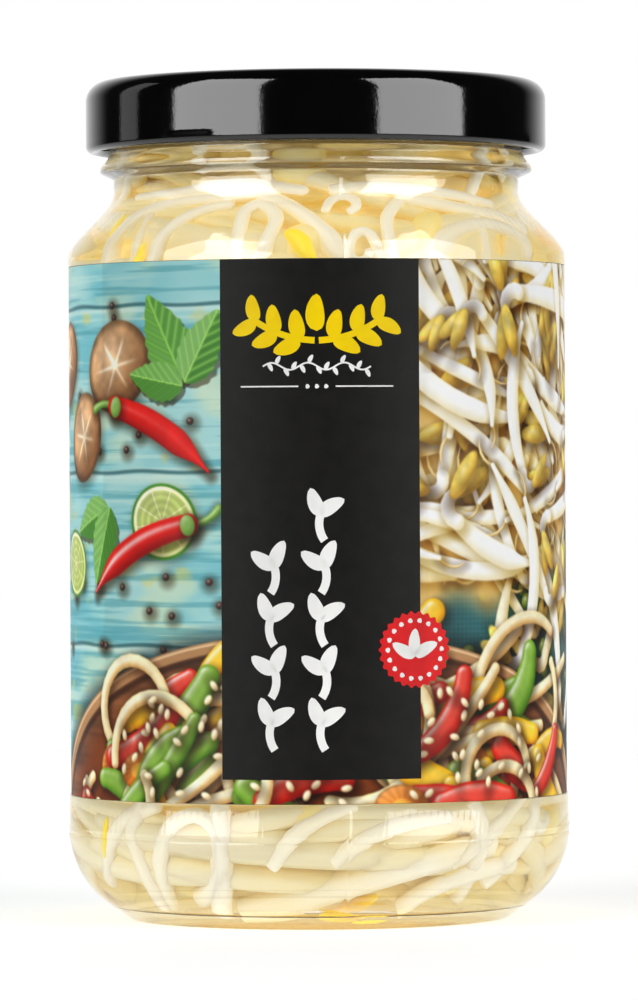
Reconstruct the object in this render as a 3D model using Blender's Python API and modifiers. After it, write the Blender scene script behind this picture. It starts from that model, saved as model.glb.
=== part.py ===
"""A glass jar of bean sprouts in brine, with a twist-off lid and a wrap label.

Everything is in metres, +Z up, with the origin at the middle of the bearing ring on the jar's
underside. The front of the label faces -Y. Turned pieces are profiles in (radius, height).
"""

import math
import random

import bmesh
import bpy
from mathutils import Matrix, Vector

MM = 0.001
GAP = 0.3 * MM
TURN_STEPS = 36
WELD = 0.01 * MM
SHARP_DEG = 40.0
SEED = 63

# Glass body, outside
BODY_RADIUS = 36.35 * MM
PANEL_RADIUS = 35.38 * MM
UPPER_BAND_RADIUS = 36.15 * MM
HEEL_RADIUS = 13.1 * MM
BEARING_OUTER = 27.9 * MM
BEARING_INNER = 25.7 * MM
PUSH_UP = 2.2 * MM
PUSH_UP_SHOULDER = (3.0 * MM, 1.5 * MM)
PANEL_LOW = 18.0 * MM
PANEL_HIGH = 94.2 * MM
NECK_RADIUS = 29.3 * MM
NECK_LOW = 105.0 * MM
NECK_HIGH = 106.3 * MM
BEAD_RADIUS = 31.25 * MM
BEAD_HEIGHT = 108.3 * MM
FINISH_RADIUS = 29.8 * MM
FINISH_LOW = 110.5 * MM
LIP_HEIGHT = 119.05 * MM
LIP_ROUND = 0.9 * MM

# Glass body, inside
INSIDE_RADIUS = 33.3 * MM
INSIDE_FLOOR = 4.5 * MM
INSIDE_HEEL = 9.0 * MM
INSIDE_SHOULDER_LOW = 93.0 * MM
INSIDE_SHOULDER_TOP = 105.0 * MM
BORE_RADIUS = 26.9 * MM

# Screw thread: four short starts, rising as the lid is turned open
THREAD_STARTS = 4
THREAD_FIRST_DEG = 48.0
THREAD_LEAD = 6.0 * MM
THREAD_SPAN_DEG = 70.0
THREAD_LOW = 113.05 * MM
THREAD_CENTRE_RADIUS = 30.1 * MM
THREAD_THICKNESS = 0.8 * MM
THREAD_POINTS = 9

# Lid
LID_RADIUS = 33.3 * MM
LID_TOP = 121.0 * MM
LID_ROUND = 2.85 * MM
SHEET = 0.45 * MM
RIM_INNER = 26.6 * MM
PANEL_STEP = 0.7 * MM
PANEL_DROP = 0.8 * MM
BUTTON_RADIUS = 12.0 * MM
BUTTON_SLOPE = 1.0 * MM
BUTTON_RISE = 0.45 * MM
CURL_HEIGHT = 111.7 * MM
CURL_ROUND = 0.95 * MM
LUG_SIZE = (1.5 * MM, 8.0 * MM, 0.9 * MM)
LUG_REACH = 30.4 * MM
LUG_LOW = 110.95 * MM
LUG_LEAD_DEG = 9.0

# Sealing ring in the lid's rim
LINER_INNER = 27.2 * MM
LINER_OUTER = 30.7 * MM
LINER_LOW = LIP_HEIGHT + GAP
LINER_HIGH = LID_TOP - SHEET - GAP

# Label
LABEL_INNER = PANEL_RADIUS + GAP
LABEL_THICKNESS = 0.24 * MM
LABEL_LOW = 18.3 * MM
LABEL_HIGH = 93.9 * MM
LABEL_SEAM_GAP_DEG = 14.0
BACK_DEG = 90.0

# Brine: the liquid's middle body, inside the ring of sprouts
BRINE_RADIUS = 20.0 * MM
BRINE_FLOOR = INSIDE_FLOOR + GAP
BRINE_LEVEL = 113.5 * MM

# Sprouts: three tangles, one above the other, each a ring that lines the wall. Each row gives a
# tangle's name, its lowest and highest point, the heights its stems lie between, and their number.
TANGLES = (
    ("sprouts_low", (5.0 * MM, 32.0 * MM), (7.0 * MM, 29.0 * MM), 25),
    ("sprouts_middle", (32.3 * MM, 81.0 * MM), (35.0 * MM, 78.0 * MM), 19),
    ("sprouts_high", (81.3 * MM, 112.0 * MM), (84.0 * MM, 110.0 * MM), 25),
)
TANGLE_INNER = BRINE_RADIUS + GAP
CORE_DEPTH = 3.2 * MM
CORE_STEPS = 5
STEM_RADIUS = 2.0 * MM
STEM_LENGTHS = (44.0 * MM, 60.0 * MM)
STEM_BOW = 4.0 * MM
STEM_POINTS = 7
STEM_SINK = 0.9 * MM
TAIL_RADIUS = 0.6 * MM
BEAN_HALF = (3.8 * MM, 2.5 * MM, 2.2 * MM)
BEAN_SINK = 0.2 * MM
BEAN_OVERLAP = 0.6
BEAN_TILT_DEG = 35.0
BEAN_EVERY = 3
WALL_CLEARANCE = 0.45 * MM
GOLDEN_SHARE = (math.sqrt(5.0) - 1.0) / 2.0
GOLDEN_TURN = math.tau * (1.0 - GOLDEN_SHARE)


def clear_scene():
    """Remove whatever the file starts with."""
    for obj in list(bpy.data.objects):
        bpy.data.objects.remove(obj, do_unlink=True)


def new_collection(name, hidden=False):
    """Add a collection to the scene."""
    collection = bpy.data.collections.new(name)
    bpy.context.scene.collection.children.link(collection)
    collection.hide_render = hidden
    return collection


def new_material(name, colour, roughness, metallic=0.0, transmission=0.0):
    """One plain Principled material."""
    material = bpy.data.materials.new(name)
    material.use_nodes = True
    shader = material.node_tree.nodes["Principled BSDF"]
    shader.inputs["Base Color"].default_value = (*colour, 1.0)
    shader.inputs["Roughness"].default_value = roughness
    shader.inputs["Metallic"].default_value = metallic
    shader.inputs["Transmission Weight"].default_value = transmission
    return material


def arc(centre, radii, start_deg, end_deg, count):
    """Points on an ellipse quarter in (radius, height), from one angle to another."""
    points = []
    for step in range(count + 1):
        angle = math.radians(start_deg + (end_deg - start_deg) * step / count)
        points.append((centre[0] + radii[0] * math.cos(angle), centre[1] + radii[1] * math.sin(angle)))
    return points


def smooth_step(low, high, count):
    """An S-shaped run between two (radius, height) points, level with the axis at both ends."""
    points = []
    for step in range(count + 1):
        share = step / count
        ease = share * share * (3.0 - 2.0 * share)
        points.append((low[0] + (high[0] - low[0]) * ease, low[1] + (high[1] - low[1]) * share))
    return points


def turned(name, profile, material, collection, steps=TURN_STEPS):
    """Turn a profile, which starts and ends on the axis or closes on itself, round Z."""
    mesh = bpy.data.meshes.new(name)
    closed = profile[0] == profile[-1]
    points = profile[:-1] if closed else profile
    edges = [(index, index + 1) for index in range(len(points) - 1)]
    if closed:
        edges.append((len(points) - 1, 0))
    mesh.from_pydata([(radius, 0.0, height) for radius, height in points], edges, [])
    obj = bpy.data.objects.new(name, mesh)
    obj.data.materials.append(material)
    collection.objects.link(obj)
    screw = obj.modifiers.new("turn", "SCREW")
    screw.axis = "Z"
    screw.angle = math.tau
    screw.steps = steps
    screw.render_steps = steps
    screw.use_merge_vertices = True
    screw.merge_threshold = WELD
    screw.use_smooth_shade = True
    return obj


def apply_modifiers(obj):
    """Keep what the modifiers make as the object's own mesh."""
    graph = bpy.context.evaluated_depsgraph_get()
    mesh = bpy.data.meshes.new_from_object(obj.evaluated_get(graph))
    mesh.name = obj.name
    obj.modifiers.clear()
    obj.data = mesh
    mesh.shade_smooth()
    mesh.set_sharp_from_angle(angle=math.radians(SHARP_DEG))


def face_groups(shape):
    """The faces of a mesh as lists that hang together."""
    groups = []
    unseen = set(shape.faces)
    while unseen:
        group = [unseen.pop()]
        for face in group:
            for edge in face.edges:
                for neighbour in edge.link_faces:
                    if neighbour in unseen:
                        unseen.remove(neighbour)
                        group.append(neighbour)
        groups.append(group)
    return groups


def keep_outer_body(mesh):
    """Fill the hollows that a union sealed, and drop its loose scraps: only the largest body stays."""
    shape = bmesh.new()
    shape.from_mesh(mesh)
    groups = face_groups(shape)
    groups.sort(key=lambda group: sum(face.calc_area() for face in group))
    inner = [face for group in groups[:-1] for face in group]
    bmesh.ops.delete(shape, geom=inner, context="FACES")
    shape.to_mesh(mesh)
    shape.free()


def join_with(obj, pieces):
    """Unite an object with every object of a collection, and remove that collection."""
    union = obj.modifiers.new("join", "BOOLEAN")
    union.operation = "UNION"
    union.operand_type = "COLLECTION"
    union.collection = pieces
    apply_modifiers(obj)
    keep_outer_body(obj.data)
    for piece in list(pieces.objects):
        bpy.data.objects.remove(piece, do_unlink=True)
    bpy.data.collections.remove(pieces)


def tube(name, points, radii, collection, resolution=1):
    """A round rod along the points, as a closed mesh."""
    curve = bpy.data.curves.new(name, "CURVE")
    curve.dimensions = "3D"
    curve.bevel_depth = max(radii)
    curve.bevel_resolution = resolution
    curve.use_fill_caps = True
    spline = curve.splines.new("POLY")
    spline.points.add(len(points) - 1)
    for point, place, radius in zip(spline.points, points, radii):
        point.co = (*place, 1.0)
        point.radius = radius / max(radii)
    source = bpy.data.objects.new(name, curve)
    collection.objects.link(source)
    graph = bpy.context.evaluated_depsgraph_get()
    mesh = bpy.data.meshes.new_from_object(source.evaluated_get(graph))
    matrix = source.matrix_world.copy()
    bpy.data.objects.remove(source, do_unlink=True)
    bpy.data.curves.remove(curve)
    shape = bmesh.new()
    shape.from_mesh(mesh)
    bmesh.ops.remove_doubles(shape, verts=shape.verts, dist=WELD)
    bmesh.ops.recalc_face_normals(shape, faces=shape.faces)
    shape.to_mesh(mesh)
    shape.free()
    obj = bpy.data.objects.new(name, mesh)
    obj.matrix_world = matrix
    collection.objects.link(obj)
    return obj


def on_ring(radius, angle, height):
    """A point at a radius and angle round the jar's axis."""
    return Vector((radius * math.cos(angle), radius * math.sin(angle), height))


def inside_profile():
    """The jar's inner wall, from the floor's middle up to the mouth."""
    points = [(0.0, INSIDE_FLOOR)]
    heel = (INSIDE_RADIUS - INSIDE_HEEL, INSIDE_FLOOR + INSIDE_HEEL)
    points += arc(heel, (INSIDE_HEEL, INSIDE_HEEL), -90.0, 0.0, 5)
    shoulder_low = (INSIDE_RADIUS, INSIDE_SHOULDER_LOW)
    shoulder_top = (BORE_RADIUS, INSIDE_SHOULDER_TOP)
    points += smooth_step(shoulder_low, shoulder_top, 6)
    points.append((BORE_RADIUS, LIP_HEIGHT - LIP_ROUND))
    return points


def inside_radius(height):
    """The inner wall's radius at a height."""
    wall = inside_profile()
    for (low_radius, low), (high_radius, high) in zip(wall, wall[1:]):
        if low <= height <= high and high > low:
            return low_radius + (high_radius - low_radius) * (height - low) / (high - low)
    return BORE_RADIUS


def outside_profile():
    """The jar's outer wall, from the lip down to the underside's middle."""
    lip = (FINISH_RADIUS - LIP_ROUND, LIP_HEIGHT - LIP_ROUND)
    points = [(BORE_RADIUS + LIP_ROUND, LIP_HEIGHT)]
    points += arc(lip, (LIP_ROUND, LIP_ROUND), 90.0, 0.0, 2)
    points.append((FINISH_RADIUS, FINISH_LOW))
    points += smooth_step((FINISH_RADIUS + GAP, FINISH_LOW - GAP), (BEAD_RADIUS, BEAD_HEIGHT), 3)
    points += smooth_step((BEAD_RADIUS, BEAD_HEIGHT - GAP), (NECK_RADIUS, NECK_HIGH), 3)
    points += smooth_step((NECK_RADIUS, NECK_LOW), (UPPER_BAND_RADIUS, PANEL_HIGH + MM), 9)
    points += [(UPPER_BAND_RADIUS, PANEL_HIGH + GAP), (PANEL_RADIUS, PANEL_HIGH)]
    points += [(PANEL_RADIUS, PANEL_LOW), (UPPER_BAND_RADIUS, PANEL_LOW - 2.0 * GAP)]
    heel = (BODY_RADIUS - HEEL_RADIUS, HEEL_RADIUS)
    lift = math.degrees(math.acos((BEARING_OUTER - heel[0]) / HEEL_RADIUS))
    points += arc(heel, (HEEL_RADIUS, HEEL_RADIUS), 0.0, -lift, 5)
    points += [(BEARING_OUTER - GAP, 0.0), (BEARING_INNER, 0.0)]
    points += [(BEARING_INNER - PUSH_UP_SHOULDER[0], PUSH_UP_SHOULDER[1]), (0.0, PUSH_UP)]
    return points


def make_threads(collection):
    """The four thread starts, as rods sunk half into the finish."""
    for start in range(THREAD_STARTS):
        first = THREAD_FIRST_DEG + 360.0 / THREAD_STARTS * start
        points = []
        for step in range(THREAD_POINTS):
            turn = THREAD_SPAN_DEG * step / (THREAD_POINTS - 1)
            height = THREAD_LOW + THREAD_LEAD * turn / 360.0
            points.append(on_ring(THREAD_CENTRE_RADIUS, math.radians(first + turn), height))
        tube(f"thread_{start}", points, [THREAD_THICKNESS] * THREAD_POINTS, collection, 2)


def make_jar(collection):
    """The glass: one turned shell with its thread."""
    material = new_material("clear glass", (0.86, 0.92, 0.90), 0.03, transmission=1.0)
    jar = turned("jar_glass", inside_profile() + outside_profile(), material, collection)
    threads = new_collection("thread starts", hidden=True)
    make_threads(threads)
    join_with(jar, threads)
    return jar


def lid_profile():
    """The pressed lid in section: panel, rim, skirt and curl, then back up the inside."""
    step_outer = RIM_INNER - PANEL_STEP
    panel = LID_TOP - PANEL_DROP
    points = [(0.0, panel + BUTTON_RISE), (BUTTON_RADIUS - BUTTON_SLOPE, panel + BUTTON_RISE)]
    points += [(BUTTON_RADIUS, panel), (step_outer, panel), (RIM_INNER, LID_TOP)]
    corner = (LID_RADIUS - LID_ROUND, LID_TOP - LID_ROUND)
    points += arc(corner, (LID_ROUND, LID_ROUND), 90.0, 0.0, 5)
    curl = (LID_RADIUS - CURL_ROUND, CURL_HEIGHT)
    points += arc(curl, (CURL_ROUND, CURL_ROUND), 0.0, -225.0, 6)
    inner = LID_ROUND - SHEET
    points.append((LID_RADIUS - SHEET, CURL_HEIGHT + CURL_ROUND))
    points += arc(corner, (inner, inner), 0.0, 90.0, 3)
    points += [(RIM_INNER - SHEET * 0.5, LID_TOP - SHEET), (step_outer - SHEET, panel - SHEET)]
    points.append((BUTTON_RADIUS + SHEET, panel - SHEET))
    points.append((BUTTON_RADIUS - BUTTON_SLOPE, panel + BUTTON_RISE - SHEET))
    points.append((0.0, panel + BUTTON_RISE - SHEET))
    return points


def make_lug(name, angle, collection):
    """One inward tongue of the curl, which hooks under a thread start."""
    mesh = bpy.data.meshes.new(name)
    shape = bmesh.new()
    bmesh.ops.create_cube(shape, size=1.0)
    bmesh.ops.scale(shape, vec=LUG_SIZE, verts=shape.verts)
    shape.to_mesh(mesh)
    shape.free()
    lug = bpy.data.objects.new(name, mesh)
    lug.location = on_ring(LUG_REACH + LUG_SIZE[0] / 2.0, angle, LUG_LOW + LUG_SIZE[2] / 2.0)
    lug.rotation_euler.z = angle
    collection.objects.link(lug)


def make_lid(collection):
    """The lid with its four lugs, shut: each lug just inside the low end of a thread start."""
    material = new_material("black lacquered tinplate", (0.012, 0.012, 0.013), 0.12, metallic=0.1)
    lid = turned("lid", lid_profile(), material, collection)
    lugs = new_collection("lugs", hidden=True)
    for start in range(THREAD_STARTS):
        lead = THREAD_FIRST_DEG + LUG_LEAD_DEG
        make_lug(f"lug_{start}", math.radians(lead + 360.0 / THREAD_STARTS * start), lugs)
    join_with(lid, lugs)
    return lid


def make_liner(collection):
    """The ring of soft sealing compound between the lid's rim and the jar's lip."""
    material = new_material("sealing compound", (0.75, 0.73, 0.68), 0.6)
    profile = [
        (LINER_INNER, LINER_HIGH),
        (LINER_OUTER, LINER_HIGH),
        (LINER_OUTER, LINER_LOW),
        (LINER_INNER, LINER_LOW),
        (LINER_INNER, LINER_HIGH),
    ]
    return turned("liner", profile, material, collection)


def make_label(collection):
    """The paper label: a band round the recessed panel, open in a narrow strip at the back."""
    material = new_material("printed paper", (0.03, 0.03, 0.03), 0.35)
    curve = bpy.data.curves.new("label", "CURVE")
    curve.dimensions = "2D"
    curve.fill_mode = "BOTH"
    curve.extrude = (LABEL_HIGH - LABEL_LOW) / 2.0
    half_gap = LABEL_SEAM_GAP_DEG / 2.0
    facet = 360.0 / TURN_STEPS
    first_facet = math.ceil((BACK_DEG + half_gap) / facet)
    last_facet = math.floor((BACK_DEG + 360.0 - half_gap) / facet)
    turns = [BACK_DEG + half_gap]
    turns += [facet * index for index in range(first_facet, last_facet + 1)]
    turns.append(BACK_DEG + 360.0 - half_gap)
    outer = [on_ring(LABEL_INNER + LABEL_THICKNESS, math.radians(turn), 0.0) for turn in turns]
    inner = [on_ring(LABEL_INNER, math.radians(turn), 0.0) for turn in reversed(turns)]
    spline = curve.splines.new("POLY")
    spline.points.add(len(outer) + len(inner) - 1)
    for point, place in zip(spline.points, outer + inner):
        point.co = (place.x, place.y, 0.0, 1.0)
    spline.use_cyclic_u = True
    label = bpy.data.objects.new("label", curve)
    label.location.z = (LABEL_HIGH + LABEL_LOW) / 2.0
    label.data.materials.append(material)
    collection.objects.link(label)
    return label


def make_brine(collection):
    """The brine's middle body, up to its level in the neck."""
    material = new_material("pale brine", (0.93, 0.84, 0.55), 0.05, transmission=0.8)
    profile = [(0.0, BRINE_LEVEL), (BRINE_RADIUS, BRINE_LEVEL)]
    profile += [(BRINE_RADIUS, BRINE_FLOOR), (0.0, BRINE_FLOOR)]
    return turned("brine", profile, material, collection)


def wall_reach(height, depth, half_width):
    """The radius that keeps a thing of this half width a depth inside the glass at a height."""
    heights = (height - half_width, height, height + half_width)
    return min(inside_radius(level) for level in heights) - depth


def make_core(name, span, material, collection):
    """The matted middle of a tangle: a ring that follows the wall, and that the sprouts lie on."""
    low, high = span
    profile = [(TANGLE_INNER, high)]
    for step in range(CORE_STEPS + 1):
        height = high + (low - high) * step / CORE_STEPS
        profile.append((wall_reach(height, CORE_DEPTH, 0.0), height))
    profile += [(TANGLE_INNER, low), (TANGLE_INNER, high)]
    core = turned(name, profile, material, collection)
    apply_modifiers(core)
    return core


def sprout_route(index, span, ends, draw):
    """A bowed line along the wall, from a sprout's root tip to its head."""
    low, high = span
    start = ends[0] + (ends[1] - ends[0]) * (index * GOLDEN_SHARE % 1.0)
    finish = draw.uniform(*ends)
    length = draw.uniform(*STEM_LENGTHS)
    way = 1.0 if index % 2 else -1.0
    bow = draw.uniform(-STEM_BOW, STEM_BOW)
    sink = draw.uniform(0.0, STEM_SINK)
    margin = BEAN_HALF[1] + GAP
    angle = index * GOLDEN_TURN
    points = []
    for step in range(STEM_POINTS):
        share = step / (STEM_POINTS - 1)
        height = start + (finish - start) * share + bow * math.sin(math.pi * share)
        height = max(low + margin, min(high - margin, height))
        reach = wall_reach(height, WALL_CLEARANCE + STEM_RADIUS + sink, STEM_RADIUS)
        points.append(on_ring(reach, angle, height))
        angle += way * length / (STEM_POINTS - 1) / reach
    return points


def make_bean(name, points, collection):
    """The bean halves, shut together, bent over at the head of a stem."""
    head = points[-1]
    along = (points[-1] - points[-2]).normalized()
    outward = Vector((head.x, head.y, 0.0)).normalized()
    side = outward.cross(along).normalized()
    upright = along.cross(side)
    lean = Matrix.Rotation(math.radians(BEAN_TILT_DEG), 3, upright)
    frame = Matrix((lean @ along, lean @ side, upright)).transposed().to_4x4()
    mesh = bpy.data.meshes.new(name)
    shape = bmesh.new()
    bmesh.ops.create_uvsphere(shape, u_segments=6, v_segments=4, radius=1.0)
    bmesh.ops.rotate(shape, matrix=Matrix.Rotation(math.radians(90.0), 3, "Y"), verts=shape.verts)
    bmesh.ops.scale(shape, vec=BEAN_HALF, verts=shape.verts)
    shape.to_mesh(mesh)
    shape.free()
    bean = bpy.data.objects.new(name, mesh)
    inward = outward * (BEAN_HALF[2] - STEM_RADIUS + BEAN_SINK)
    back = along * BEAN_HALF[0] * BEAN_OVERLAP
    bean.matrix_world = Matrix.Translation(head - inward - back) @ frame
    collection.objects.link(bean)


def make_tangle(name, span, ends, count, material, collection, draw):
    """One tangle: sprouts, most without their bean, fused to the matted middle that they lie on."""
    tangle = make_core(name, span, material, collection)
    pieces = new_collection(f"{name} pieces", hidden=True)
    stem_radii = [TAIL_RADIUS, (TAIL_RADIUS + STEM_RADIUS) / 2.0] + [STEM_RADIUS] * (STEM_POINTS - 2)
    for index in range(count):
        points = sprout_route(index, span, ends, draw)
        tube(f"{name}_stem_{index}", points, stem_radii, pieces)
        if index % BEAN_EVERY == 0:
            make_bean(f"{name}_bean_{index}", points, pieces)
    join_with(tangle, pieces)
    return tangle


def make_sprouts(collection):
    """All the sprouts, from the floor to the neck."""
    material = new_material("sprout flesh", (0.88, 0.83, 0.66), 0.35)
    draw = random.Random(SEED)
    for name, span, ends, count in TANGLES:
        make_tangle(name, span, ends, count, material, collection, draw)


def main():
    """Build the jar and all that is in it and on it."""
    clear_scene()
    parts = new_collection("jar of bean sprouts")
    make_jar(parts)
    make_lid(parts)
    make_liner(parts)
    make_label(parts)
    make_brine(parts)
    make_sprouts(parts)


main()
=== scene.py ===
"""The looks of a round glass jar of bean sprouts in brine, with a lacquered twist-off lid.

Everything is in metres, +Z up, in the frame of the solids: the origin is the middle of the jar's
bearing ring and the front of the label faces -Y. Profiles are lists of (radius, height).
"""

import logging
import math
import random
from collections.abc import Callable, Iterable
from dataclasses import dataclass
from enum import Enum
from itertools import pairwise

import bpy
import numpy as np
from mathutils import Matrix, Vector


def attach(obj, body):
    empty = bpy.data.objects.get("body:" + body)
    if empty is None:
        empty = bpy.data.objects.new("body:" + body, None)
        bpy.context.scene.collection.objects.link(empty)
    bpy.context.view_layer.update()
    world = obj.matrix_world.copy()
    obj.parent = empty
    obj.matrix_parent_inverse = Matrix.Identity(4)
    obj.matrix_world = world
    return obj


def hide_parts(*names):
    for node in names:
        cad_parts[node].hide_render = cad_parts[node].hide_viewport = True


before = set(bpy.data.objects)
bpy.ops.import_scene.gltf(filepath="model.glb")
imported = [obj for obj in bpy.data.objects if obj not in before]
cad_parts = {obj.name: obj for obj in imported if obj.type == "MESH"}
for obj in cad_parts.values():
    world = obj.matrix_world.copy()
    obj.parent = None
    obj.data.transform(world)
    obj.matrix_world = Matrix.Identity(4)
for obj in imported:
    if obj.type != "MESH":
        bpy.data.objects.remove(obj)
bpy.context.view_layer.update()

MM = 0.001
WELD = 0.002 * MM
GAP = 0.3 * MM
FRONT_DEG = -90.0

Point = tuple[float, float]
Colour = tuple[float, float, float]

log = logging.getLogger("jar")


class Body(Enum):
    """The bodies that pieces ride on."""

    JAR = "jar"
    SEAL = "seal"
    LID = "lid"


class Slot(Enum):
    """The record's material slots."""

    GLASS = "clear_glass"
    LACQUER = "black_lacquer"
    COMPOUND = "sealing_compound"
    PAPER = "printed_paper"
    BRINE = "brine"
    FLESH = "sprout_flesh"


def clear_selection() -> None:
    """Leave edit mode with nothing selected, as each new piece needs."""
    if bpy.context.mode != "OBJECT":
        bpy.ops.object.mode_set(mode="OBJECT")
    bpy.ops.object.select_all(action="DESELECT")


def activate(piece: bpy.types.Object) -> None:
    """Select one piece alone and make it the active one."""
    clear_selection()
    piece.select_set(True)
    bpy.context.view_layer.objects.active = piece


def arc(centre: Point, radius: float, start_deg: float, end_deg: float, count: int) -> list[Point]:
    """Points on a circle's arc in (radius, height).

    Args:
        centre: The circle's middle.
        radius: Its radius.
        start_deg: The first point's angle, with 0 straight out.
        end_deg: The last point's angle.
        count: How many steps the arc is cut into.

    Returns:
        The points, one more than the steps.
    """
    turns = [math.radians(start_deg + (end_deg - start_deg) * step / count) for step in range(count + 1)]
    return [(centre[0] + radius * math.cos(turn), centre[1] + radius * math.sin(turn)) for turn in turns]


def smooth_step(start: Point, end: Point, count: int, flat: bool = False) -> list[Point]:
    """An S-shaped run between two profile points.

    Args:
        start: The first (radius, height).
        end: The last one.
        count: How many steps the run is cut into.
        flat: Whether its ends lie flat, where they would else stand upright.

    Returns:
        The points, one more than the steps.
    """
    points = []
    for step in range(count + 1):
        share = step / count
        eased = share * share * (3.0 - 2.0 * share)
        out, up = (share, eased) if flat else (eased, share)
        points.append((start[0] + (end[0] - start[0]) * out, start[1] + (end[1] - start[1]) * up))
    return points


def on_ring(radius: float, angle: float, height: float) -> Vector:
    """A point at a radius, an angle in radians and a height round the jar's axis."""
    return Vector((radius * math.cos(angle), radius * math.sin(angle), height))


def outward(face: bpy.types.MeshPolygon) -> Vector:
    """The level line from the jar's axis to a face's middle."""
    return Vector((face.center.x, face.center.y, 0.0))


def drawn_line(name: str, start: Vector, moves: Iterable[Vector]) -> bpy.types.Object:
    """Extrude one vertex along a line.

    Args:
        name: The new piece's name.
        start: Where the line starts.
        moves: Its steps.

    Returns:
        The piece, in edit mode.
    """
    clear_selection()
    bpy.ops.mesh.primitive_plane_add(size=MM)
    piece = bpy.context.object
    piece.name = name
    bpy.ops.object.mode_set(mode="EDIT")
    bpy.ops.mesh.merge(type="CENTER")
    bpy.ops.transform.translate(value=start)
    for move in moves:
        bpy.ops.mesh.extrude_region_move(TRANSFORM_OT_translate={"value": move})
    return piece


def spin_all(steps: int, angle: float) -> None:
    """Spin all of the edited mesh round the jar's axis."""
    bpy.ops.mesh.select_all(action="SELECT")
    bpy.ops.mesh.spin(steps=steps, angle=angle, center=(0.0, 0.0, 0.0), axis=(0.0, 0.0, 1.0))


def weld() -> None:
    """Merge the doubles of the edited mesh."""
    bpy.ops.mesh.select_all(action="SELECT")
    bpy.ops.mesh.remove_doubles(threshold=WELD)


def close_edit() -> None:
    """Weld the edited mesh, turn its faces outwards and go back to object mode."""
    weld()
    bpy.ops.mesh.normals_make_consistent(inside=False)
    bpy.ops.object.mode_set(mode="OBJECT")


def turn(name: str, profile: list[Point], steps: int) -> bpy.types.Object:
    """Draw a profile and spin it round the axis into a closed shell.

    Args:
        name: The piece's name.
        profile: Points in (radius, height), which start and end on the axis or on each other.
        steps: How many segments the circle has.

    Returns:
        The new object, in object mode.
    """
    moves = [(there[0] - here[0], 0.0, there[1] - here[1]) for here, there in pairwise(profile)]
    piece = drawn_line(name, (profile[0][0], 0.0, profile[0][1]), moves)
    spin_all(steps, math.tau)
    close_edit()
    return piece


def smooth(piece: bpy.types.Object, angle_deg: float) -> None:
    """Shade a piece smooth, with edges sharper than an angle kept crisp."""
    activate(piece)
    bpy.ops.object.shade_smooth_by_angle(angle=math.radians(angle_deg))


def select_vertices(piece: bpy.types.Object, wanted: Callable[[Vector], bool]) -> None:
    """Select just the vertices that a test on their place lets through, and open edit mode.

    Args:
        piece: The piece to edit.
        wanted: The test on a vertex's place.
    """
    activate(piece)
    bpy.ops.object.mode_set(mode="EDIT")
    bpy.ops.mesh.select_mode(type="VERT")
    bpy.ops.mesh.select_all(action="DESELECT")
    bpy.ops.object.mode_set(mode="OBJECT")
    for vertex in piece.data.vertices:
        vertex.select = wanted(vertex.co)
    bpy.ops.object.mode_set(mode="EDIT")


def select_uprights(piece: bpy.types.Object, radius: float) -> None:
    """Select just the upright edges at a radius round the jar's axis, and open edit mode.

    Args:
        piece: The piece to edit.
        radius: The radius.
    """
    select_vertices(piece, lambda point: False)
    bpy.ops.mesh.select_mode(type="EDGE")
    bpy.ops.object.mode_set(mode="OBJECT")
    places = [vertex.co for vertex in piece.data.vertices]
    for edge in piece.data.edges:
        one, other = (places[index] for index in edge.vertices)
        edge.select = abs(one.z - other.z) > WELD and min(one.xy.length, other.xy.length) > radius - WELD
    bpy.ops.object.mode_set(mode="EDIT")


def grow_radially(factor: float) -> None:
    """Move the selected vertices away from the jar's axis by a factor, and leave edit mode."""
    bpy.ops.transform.resize(value=(factor, factor, 1.0), center_override=(0.0, 0.0, 0.0))
    bpy.ops.object.mode_set(mode="OBJECT")


def modify(piece: bpy.types.Object, kind: str, **values: object) -> None:
    """Give a piece a modifier and apply it.

    Args:
        piece: The piece.
        kind: The modifier's type.
        **values: Its settings, by attribute name.
    """
    activate(piece)
    modifier = piece.modifiers.new("shape", kind)
    for name, value in values.items():
        setattr(modifier, name, value)
    bpy.ops.object.modifier_apply(modifier=modifier.name)


def join(pieces: list[bpy.types.Object], name: str) -> bpy.types.Object:
    """Join objects into one mesh.

    Args:
        pieces: The objects, of which the first keeps its material slots in front.
        name: The name of the joined piece.

    Returns:
        The joined object.
    """
    clear_selection()
    for piece in pieces:
        piece.select_set(True)
    bpy.context.view_layer.objects.active = pieces[0]
    if len(pieces) > 1:
        bpy.ops.object.join()
    pieces[0].name = name
    return pieces[0]


def unite(piece: bpy.types.Object, parts: list[bpy.types.Object]) -> None:
    """Unite shapes with a piece, and remove what they were.

    Args:
        piece: The piece.
        parts: The shapes.
    """
    others = join(parts, "others")
    modify(piece, "BOOLEAN", operation="UNION", solver="EXACT", object=others)
    bpy.data.objects.remove(others, do_unlink=True)


def dress(piece: bpy.types.Object, *finishes: bpy.types.Material) -> None:
    """Give a piece these materials alone."""
    piece.data.materials.clear()
    for finish in finishes:
        piece.data.materials.append(finish)


def place(piece: bpy.types.Object, body: Body, slot: Slot, *nodes: str) -> None:
    """Hang a finished piece on its body and hide the CAD nodes that it stands for.

    Args:
        piece: The finished piece.
        body: The body that it moves with.
        slot: The record's slot that its finish comes from; not used.
        *nodes: The CAD nodes that it replaces.
    """
    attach(piece, body.value)
    if nodes:
        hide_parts(*nodes)
    log.info("%s: %d faces, rides on %s", piece.name, len(piece.data.polygons), body.value)


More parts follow.
